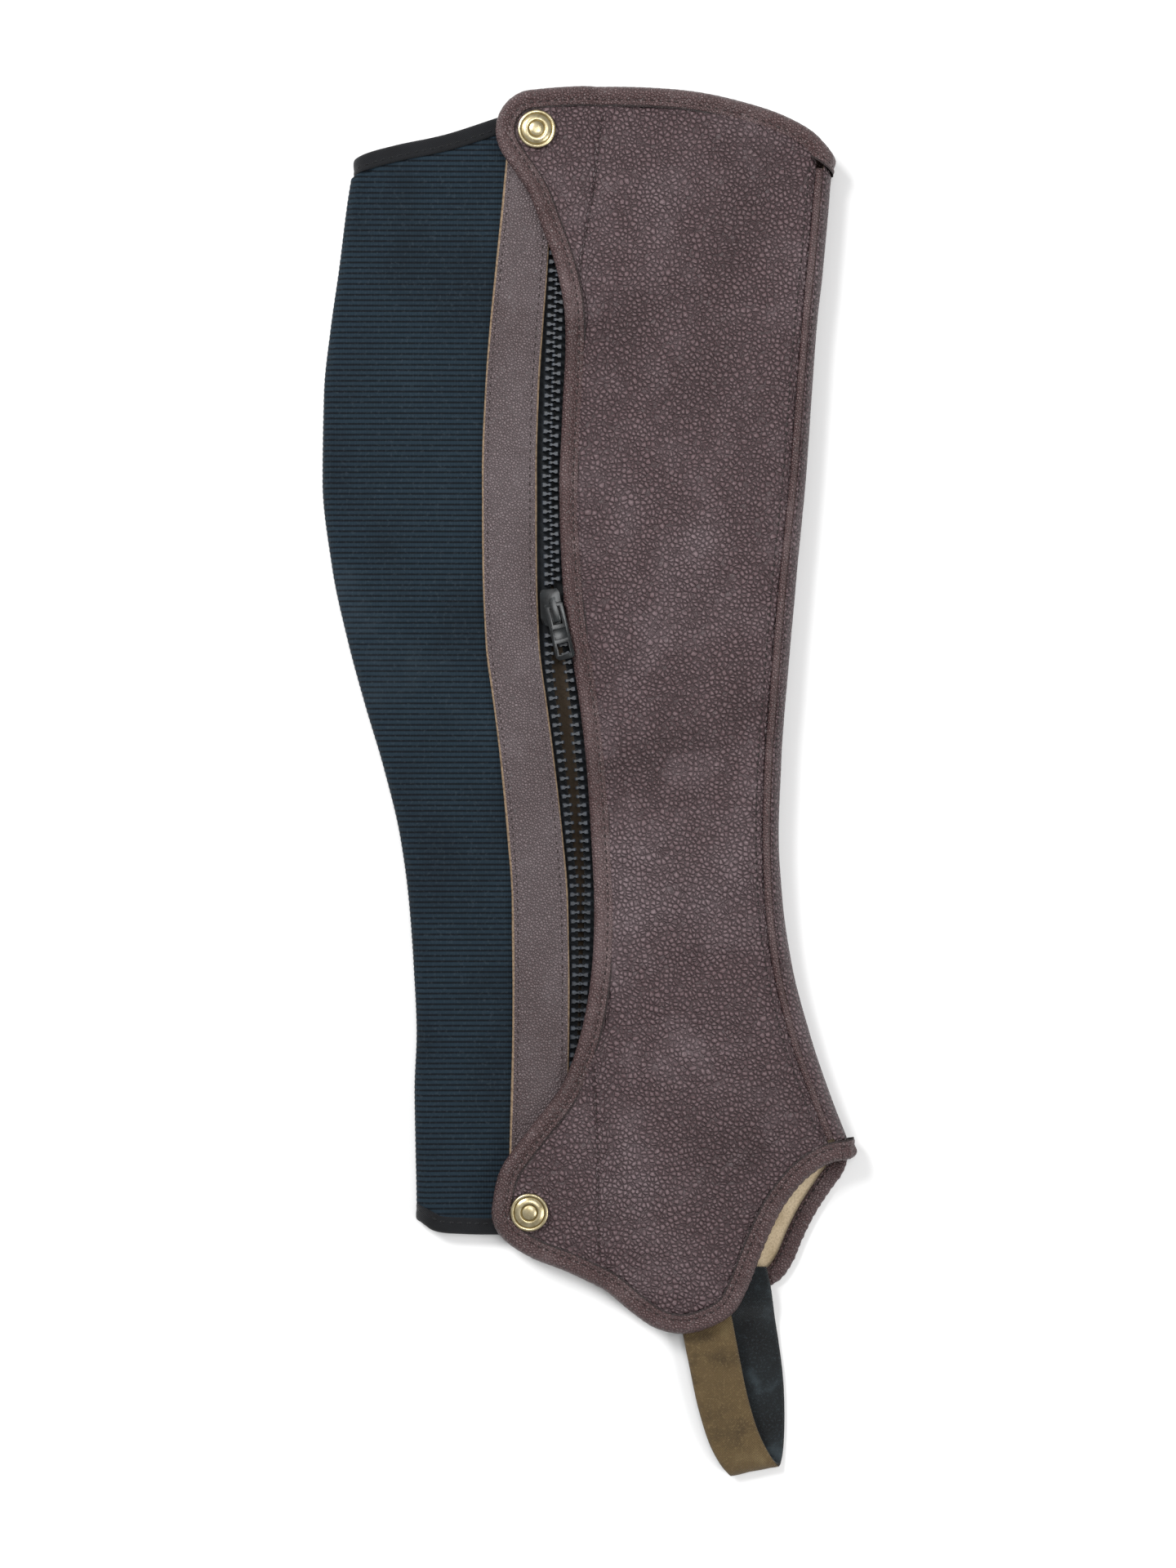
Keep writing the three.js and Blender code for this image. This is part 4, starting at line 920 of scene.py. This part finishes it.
edge_top, edge_top_line = elastic_edge("elastic_edge_top", TOP_ELASTIC, 1.0, 212.0, ["elastic_binding_top"], -28)
edge_low, edge_low_line = elastic_edge("elastic_edge_bottom", BOTTOM_ELASTIC, -1.0, -152.0, ["elastic_binding_bottom"], -28)

# ---------------------------------------------------------------- zip strip
SW = [0.0, 0.035, 0.07, 0.14, 0.25, 0.4, 0.55, 0.7, 0.82, 0.9, 0.945, 0.975, 1.0]
yy = np.arange(-148, 224.1, 2.0)
outer_g, inner_g = np.zeros((len(yy), len(SW), 3)), np.zeros((len(yy), len(SW), 3))
for j, u in enumerate(SW):
    a, b = at(LEG, "rib", yy), at(LEG, "strip", yy)
    x = a + (b - a) * u + (0.18 * wave(0 * yy, yy, 5.0, 20.0) if u in (0.0, 1.0) else 0)
    z0 = 5.3 + 0.5 * u
    crown = 0.5 * math.sin(math.pi * u) ** 0.8 - 0.35 * math.exp(-((u - 0.10) / 0.03) ** 2) - 0.3 * math.exp(-((u - 0.88) / 0.03) ** 2)
    z = z0 + 1.5 + crown + 0.28 * wave(x, yy, 4.1, 30.0) * math.sin(math.pi * u)
    if u in (0.0, 1.0):
        z = z - 0.25
    outer_g[:, j] = np.stack([x, yy, z + 0 * yy], 1)
    inner_g[:, j] = np.stack([x, yy, z0 + 0 * yy], 1)
v, f, tag = grid_wall(outer_g, inner_g)
# pale raw leather shows along both cut edges
R, C = len(yy), len(SW)
k = 0
for i in range(R - 1):
    for j in range(C - 1):
        if j == 0 or j == C - 2:
            tag[k] = 2
        k += 2
zip_strip = new("zip_strip_leather", v, f, [LEATHER_STRIP, SUEDE, RAW], tag, replaces=["zip_strip"])
strip_lines = []
for u in (0.105, 0.875):
    x = at(LEG, "rib", yy) + (at(LEG, "strip", yy) - at(LEG, "rib", yy)) * u
    strip_lines.append(np.column_stack([x, yy, np.full(len(yy), 5.3 + 0.5 * u + 1.5 - 0.1)]))


# ---------------------------------------------------------------- zip tapes and teeth
def ribbon(name, left, right, z0, t, y0, y1, step, mats, replaces, nx=8, ripple=0.0):
    yy = np.arange(y0, y1 + step / 2, step)
    o_, i_ = np.zeros((len(yy), nx + 1, 3)), np.zeros((len(yy), nx + 1, 3))
    for j in range(nx + 1):
        x = left(yy) + (right(yy) - left(yy)) * j / nx
        z = z0 + t + ripple * wave(x, yy, 2.7, 12.0)
        o_[:, j] = np.stack([x, yy, z], 1)
        i_[:, j] = np.stack([x, yy, z - t], 1)
    v, f, tag = grid_wall(o_, i_)
    return new(name, v, f, mats, tag, replaces=replaces)


tape_back = ribbon("zip_tape_back_woven", lambda y: at(LEG, "strip", y) - 7, lambda y: at(TEETH, "back", y) + 0.95, TAPE_Z, 0.9, -140, 218, 2.0,
                   [TAPE_M, TAPE_M, TAPE_M], ["zip_tape_back"], ripple=0.08)
tape_front = ribbon("zip_tape_front_woven", lambda y: at(TEETH, "front", y) - 0.95, lambda y: at(TEETH, "front", y) + 13, TAPE_Z, 0.9, -140, 218, 2.0,
                    [TAPE_M, TAPE_M, TAPE_M], ["zip_tape_front"], ripple=0.08)

TOOTH = [(-1.45, -0.78), (-0.35, -0.8), (0.05, -0.52), (0.45, -0.34), (0.95, -0.36), (1.35, -0.6), (1.8, -0.56), (1.95, -0.3),
         (1.95, 0.3), (1.8, 0.56), (1.35, 0.6), (0.95, 0.36), (0.45, 0.34), (0.05, 0.52), (-0.35, 0.8), (-1.45, 0.78)]


def teeth(name, places, replaces):
    V, F = [], []
    n = len(TOOTH)
    for x, y, side, turn in places:
        c, s_ = math.cos(turn), math.sin(turn)
        base = len(V)
        for z, r in ((TAPE_Z + 0.3, 1.0), (TAPE_Z + TAPE_T + TEETH_T - 0.15, 1.0), (TAPE_Z + TAPE_T + TEETH_T + 0.25, 0.78)):
            for u, w in TOOTH:
                px, py = (u * r + (1 - r) * 0.2) * side, w * r
                V.append((x + px * c - py * s_, y + px * s_ + py * c, z))
        ids = list(range(n)) if side > 0 else list(range(n - 1, -1, -1))
        for q in range(2):
            for k_ in range(n):
                a, b = ids[k_], ids[(k_ + 1) % n]
                F.append((base + q * n + a, base + q * n + b, base + (q + 1) * n + b, base + (q + 1) * n + a))
        F.append(tuple(base + 2 * n + a for a in ids))
        F.append(tuple(base + a for a in reversed(ids)))
    o = new(name, V, F, [TEETH_M], smooth_=False, replaces=replaces)
    return o


PITCH = 3.05
slope = lambda c, y: math.atan(float(at(TEETH, c, y + 2) - at(TEETH, c, y - 2)) / 4)
closed, backs, fronts = [], [], []
for k in range(43):
    y = 193.5 - k * PITCH
    if y > 68:
        closed.append((float(at(TEETH, "back", y)), y, 1, -slope("back", y)))
    y2 = y - PITCH / 2
    if y2 > 67:
        closed.append((float(at(TEETH, "front", y2)), y2, -1, -slope("front", y2)))
for k in range(52):
    y = 50.5 - k * PITCH
    if y < -103:
        break
    backs.append((float(at(TEETH, "back", y)), y, 1, -slope("back", y)))
    fronts.append((float(at(TEETH, "front", y)), y, -1, -slope("front", y)))
chain = teeth("zip_teeth_closed", closed, ["zip_chain"])
row_back = teeth("zip_teeth_back_row", backs, ["zip_row_back"])
row_front = teeth("zip_teeth_front_row", fronts, ["zip_row_front"])


def bevelled(name, node, body, mat, width):
    """The solid's own shape with rounded edges."""
    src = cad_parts[node]
    me = src.data.copy()
    me.materials.clear()
    me.materials.append(mat)
    o = bpy.data.objects.new(name, me)
    bpy.context.scene.collection.objects.link(o)
    bm = bmesh.new()
    bm.from_mesh(me)
    bmesh.ops.remove_doubles(bm, verts=bm.verts, dist=1e-6)
    bmesh.ops.dissolve_limit(bm, angle_limit=math.radians(3), verts=bm.verts, edges=bm.edges)
    bm.to_mesh(me)
    bm.free()
    me.polygons.foreach_set("use_smooth", [True] * len(me.polygons))
    b = o.modifiers.new("round", "BEVEL")
    b.width, b.segments, b.limit_method, b.angle_limit = width * MM, 3, "ANGLE", math.radians(35)
    b.harden_normals = False
    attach(o, body)
    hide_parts(node)
    return o


slider = bevelled("zip_slider_enamel", "zip_slider", "root", ENAMEL, 0.35)
pull = bevelled("zip_pull_enamel", "zip_pull", "pull", ENAMEL, 0.28)

# side flanges of the slider, which hold the teeth in
V, F = [], []
for sd in (-1, 1):
    base = len(V)
    for yy_, hw in ((6.0, 2.9), (4.5, 3.3), (0.0, 3.55), (-3.0, 3.7), (-5.2, 3.2)):
        for dx, z in ((0.0, 8.7), (0.28, 8.2), (0.28, 7.2), (0.0, 6.9), (-0.35, 7.2), (-0.35, 8.4)):
            lx, ly = sd * (hw + dx), yy_
            c, s_ = math.cos(0.1), math.sin(0.1)
            V.append((SLIDER["x"] + lx * c - ly * s_, SLIDER["y"] + lx * s_ + ly * c, z))
    ff = []
    for i in range(4):
        for k_ in range(6):
            a, b = base + i * 6 + k_, base + i * 6 + (k_ + 1) % 6
            ff.append((a, b, b + 6, a + 6))
    ff.append(tuple(base + k_ for k_ in range(5, -1, -1)))
    ff.append(tuple(base + 24 + k_ for k_ in range(6)))
    sub = [tuple(q - base for q in fc) for fc in ff]
    sub = outward(np.array(V[base:]), sub)
    F += [tuple(q + base for q in fc) for fc in sub]
flanges = new("zip_slider_flanges", V, F, [ENAMEL])


# ---------------------------------------------------------------- press-stud caps
def lathe(name, centre, z0, replaces):
    prof = [(0.0, 2.15), (1.2, 2.12), (2.0, 1.98), (2.35, 1.78), (2.7, 1.72), (3.05, 1.86), (3.5, 1.92), (4.0, 1.82), (4.6, 1.62), (4.95, 1.34),
            (5.2, 1.26), (5.5, 1.4), (5.9, 1.52), (6.25, 1.42), (6.5, 1.05), (6.5, 0.6), (6.2, 0.15), (5.6, 0.0), (0.0, 0.0)]
    n = 72
    V, F, idx = [(centre[0], centre[1], z0 + prof[0][1])], [], []
    for r, h in prof[1:-1]:
        for k_ in range(n):
            a = 2 * math.pi * k_ / n
            V.append((centre[0] + r * math.cos(a), centre[1] + r * math.sin(a), z0 + h))
    V.append((centre[0], centre[1], z0))
    m = len(prof) - 2
    for k_ in range(n):
        F.append((0, 1 + k_, 1 + (k_ + 1) % n)); idx.append(0)
        for i in range(m - 1):
            a, b = 1 + i * n + k_, 1 + i * n + (k_ + 1) % n
            F.append((a, a + n, b + n, b)); idx.append(1 if i in (2, 3, 8, 9) else 0)
        F.append((len(V) - 1, 1 + (m - 1) * n + (k_ + 1) % n, 1 + (m - 1) * n + k_)); idx.append(0)
    return new(name, V, F, [BRASS, BRASS_DARK], idx, replaces=replaces)


cap_z = TAB_LEVEL + LEATHER + 0.1
lathe("snap_cap_top_brass", SNAP_TOP, cap_z, ["snap_cap_top"])
lathe("snap_cap_bottom_brass", SNAP_BOTTOM, cap_z, ["snap_cap_bottom"])

# ---------------------------------------------------------------- foot strap
A = smooth([(r[0], r[1], r[4]) for r in STRAP], 1.1)
n = len(A)
B0 = smooth([(r[2], r[3], r[4]) for r in STRAP], 1.1)
tB = np.linspace(0, 1, len(B0))
B = np.stack([np.interp(np.linspace(0, 1, n), tB, B0[:, k]) for k in range(3)], 1)
NX = 14
midl = np.stack([A + (B - A) * (j / NX) for j in range(NX + 1)], 1)
along = np.gradient(midl, axis=0)
across = (B - A)[:, None]
nrm = np.cross(across, along)
nrm /= np.linalg.norm(nrm, axis=2, keepdims=True)
u = np.linspace(-1, 1, NX + 1)
t = 0.8 * (1 - 0.35 * np.abs(u) ** 6)
outer_g = midl + nrm * t[None, :, None]
inner_g = midl - nrm * t[None, :, None]
outer_g[:, :, 2] = np.maximum(outer_g[:, :, 2], 0.02)
inner_g[:, :, 2] = np.maximum(inner_g[:, :, 2], 0.02)
v, f, tag = grid_wall(outer_g, inner_g)
up_side = outer_g[5, NX // 2, 2] > inner_g[5, NX // 2, 2]
strap = new("foot_strap_elastic", v, f, [STRAP_OUT, STRAP_IN, STRAP_EDGE] if up_side else [STRAP_IN, STRAP_OUT, STRAP_EDGE],
            tag, replaces=["foot_strap"])

# ---------------------------------------------------------------- stitches
on_panel = lambda line: np.column_stack([line, panel_top(line[:, 0], line[:, 1]) + 0.05])
yy = np.arange(-118.0, 212.0, 2.0)
left = np.column_stack([at(LEG, "welt", yy) - 3.6, yy])
right = np.column_stack([at(LEG, "welt", yy) + 2.2, yy, np.full(len(yy), FRONT_H - 0.35)])
stitches("stitches_binding_outer", [outer_binding_line[10:-4]], pitch=2.75, length=1.85, width=0.56, high=0.24)
stitches("stitches_binding_tip", [top_binding_line, tip_line, hem_in_line], pitch=2.75, length=1.85, width=0.56, high=0.24)
stitches("stitches_panel", [on_panel(left), right, on_panel(DART_TOP[2:-2]), on_panel(DART_LOW[2:-2])], pitch=2.8, length=1.95)
stitches("stitches_strip", strip_lines, pitch=2.8, length=1.9)
stitches("stitches_elastic_edges", [edge_top_line[4:-4], edge_low_line[4:-4]], pitch=2.9, length=1.9, mat=EDGE_BLACK)

# ---------------------------------------------------------------- each sheet's cut size and mesh area, worked out but not kept
declare(outer_panel, 0.132, 0.426, 2)
declare(inner_panel, 0.146, 0.412, 2)
declare(binding_outer, 0.016, 0.86, 1)
declare(binding_top, 0.016, 0.14, 1)
declare(binding_low, 0.016, 0.16, 1)
declare(elastic_panel, 0.125, 0.375, 2)
declare(edge_top, 0.013, 0.12, 1)
declare(edge_low, 0.013, 0.066, 1)
declare(zip_strip, 0.0215, 0.378, 2)
declare(tape_back, 0.016, 0.362, 2)
declare(tape_front, 0.016, 0.362, 2)
declare(strap, 0.018, 0.156, 2)

# ---------------------------------------------------------------- floor, light, camera
bpy.ops.mesh.primitive_plane_add(size=6, location=(0, 0, 0))
floor = bpy.context.object
floor.name = "floor"
fm = bpy.data.materials.new("floor_pale")
fm.use_nodes = True
fb = fm.node_tree.nodes["Principled BSDF"]
fb.inputs["Base Color"].default_value = (0.9, 0.9, 0.9, 1)
fb.inputs["Roughness"].default_value = 0.9
floor.data.materials.append(fm)

world = bpy.data.worlds.new("studio")
bpy.context.scene.world = world
world.use_nodes = True
bg = world.node_tree.nodes["Background"]
bg.inputs["Color"].default_value = (1, 1, 1, 1)
bg.inputs["Strength"].default_value = 0.46


def area(name, loc, target, size, power):
    l = bpy.data.lights.new(name, "AREA")
    l.shape, l.size, l.size_y, l.energy = "RECTANGLE", size[0], size[1], power
    o = bpy.data.objects.new(name, l)
    bpy.context.scene.collection.objects.link(o)
    o.location = loc
    o.rotation_mode = "QUATERNION"
    o.rotation_quaternion = (Vector(target) - Vector(loc)).to_track_quat("-Z", "Y")
    return o


area("key", (-0.75, 0.75, 0.95), (0, 0, 0), (0.45, 0.45), 17)
area("fill", (0.85, -0.4, 0.8), (0, 0, 0), (0.5, 0.5), 5)
area("top", (0.15, 0.3, 1.6), (0, 0, 0), (0.5, 0.5), 7)

cam_data = bpy.data.cameras.new("camera")
cam = bpy.data.objects.new("camera", cam_data)
bpy.context.scene.collection.objects.link(cam)
cam_data.sensor_fit = "AUTO"
cam_data.sensor_width = 36.0
cam_data.lens = 60.0
dist = 0.54 / (36.0 / 60.0)
cam.location = (0.0, 0.0, dist)
cam.rotation_euler = (0, 0, 0)
cam_data.clip_start, cam_data.clip_end = 0.01, 50
bpy.context.scene.camera = cam
bpy.context.scene.view_settings.view_transform = "Standard"
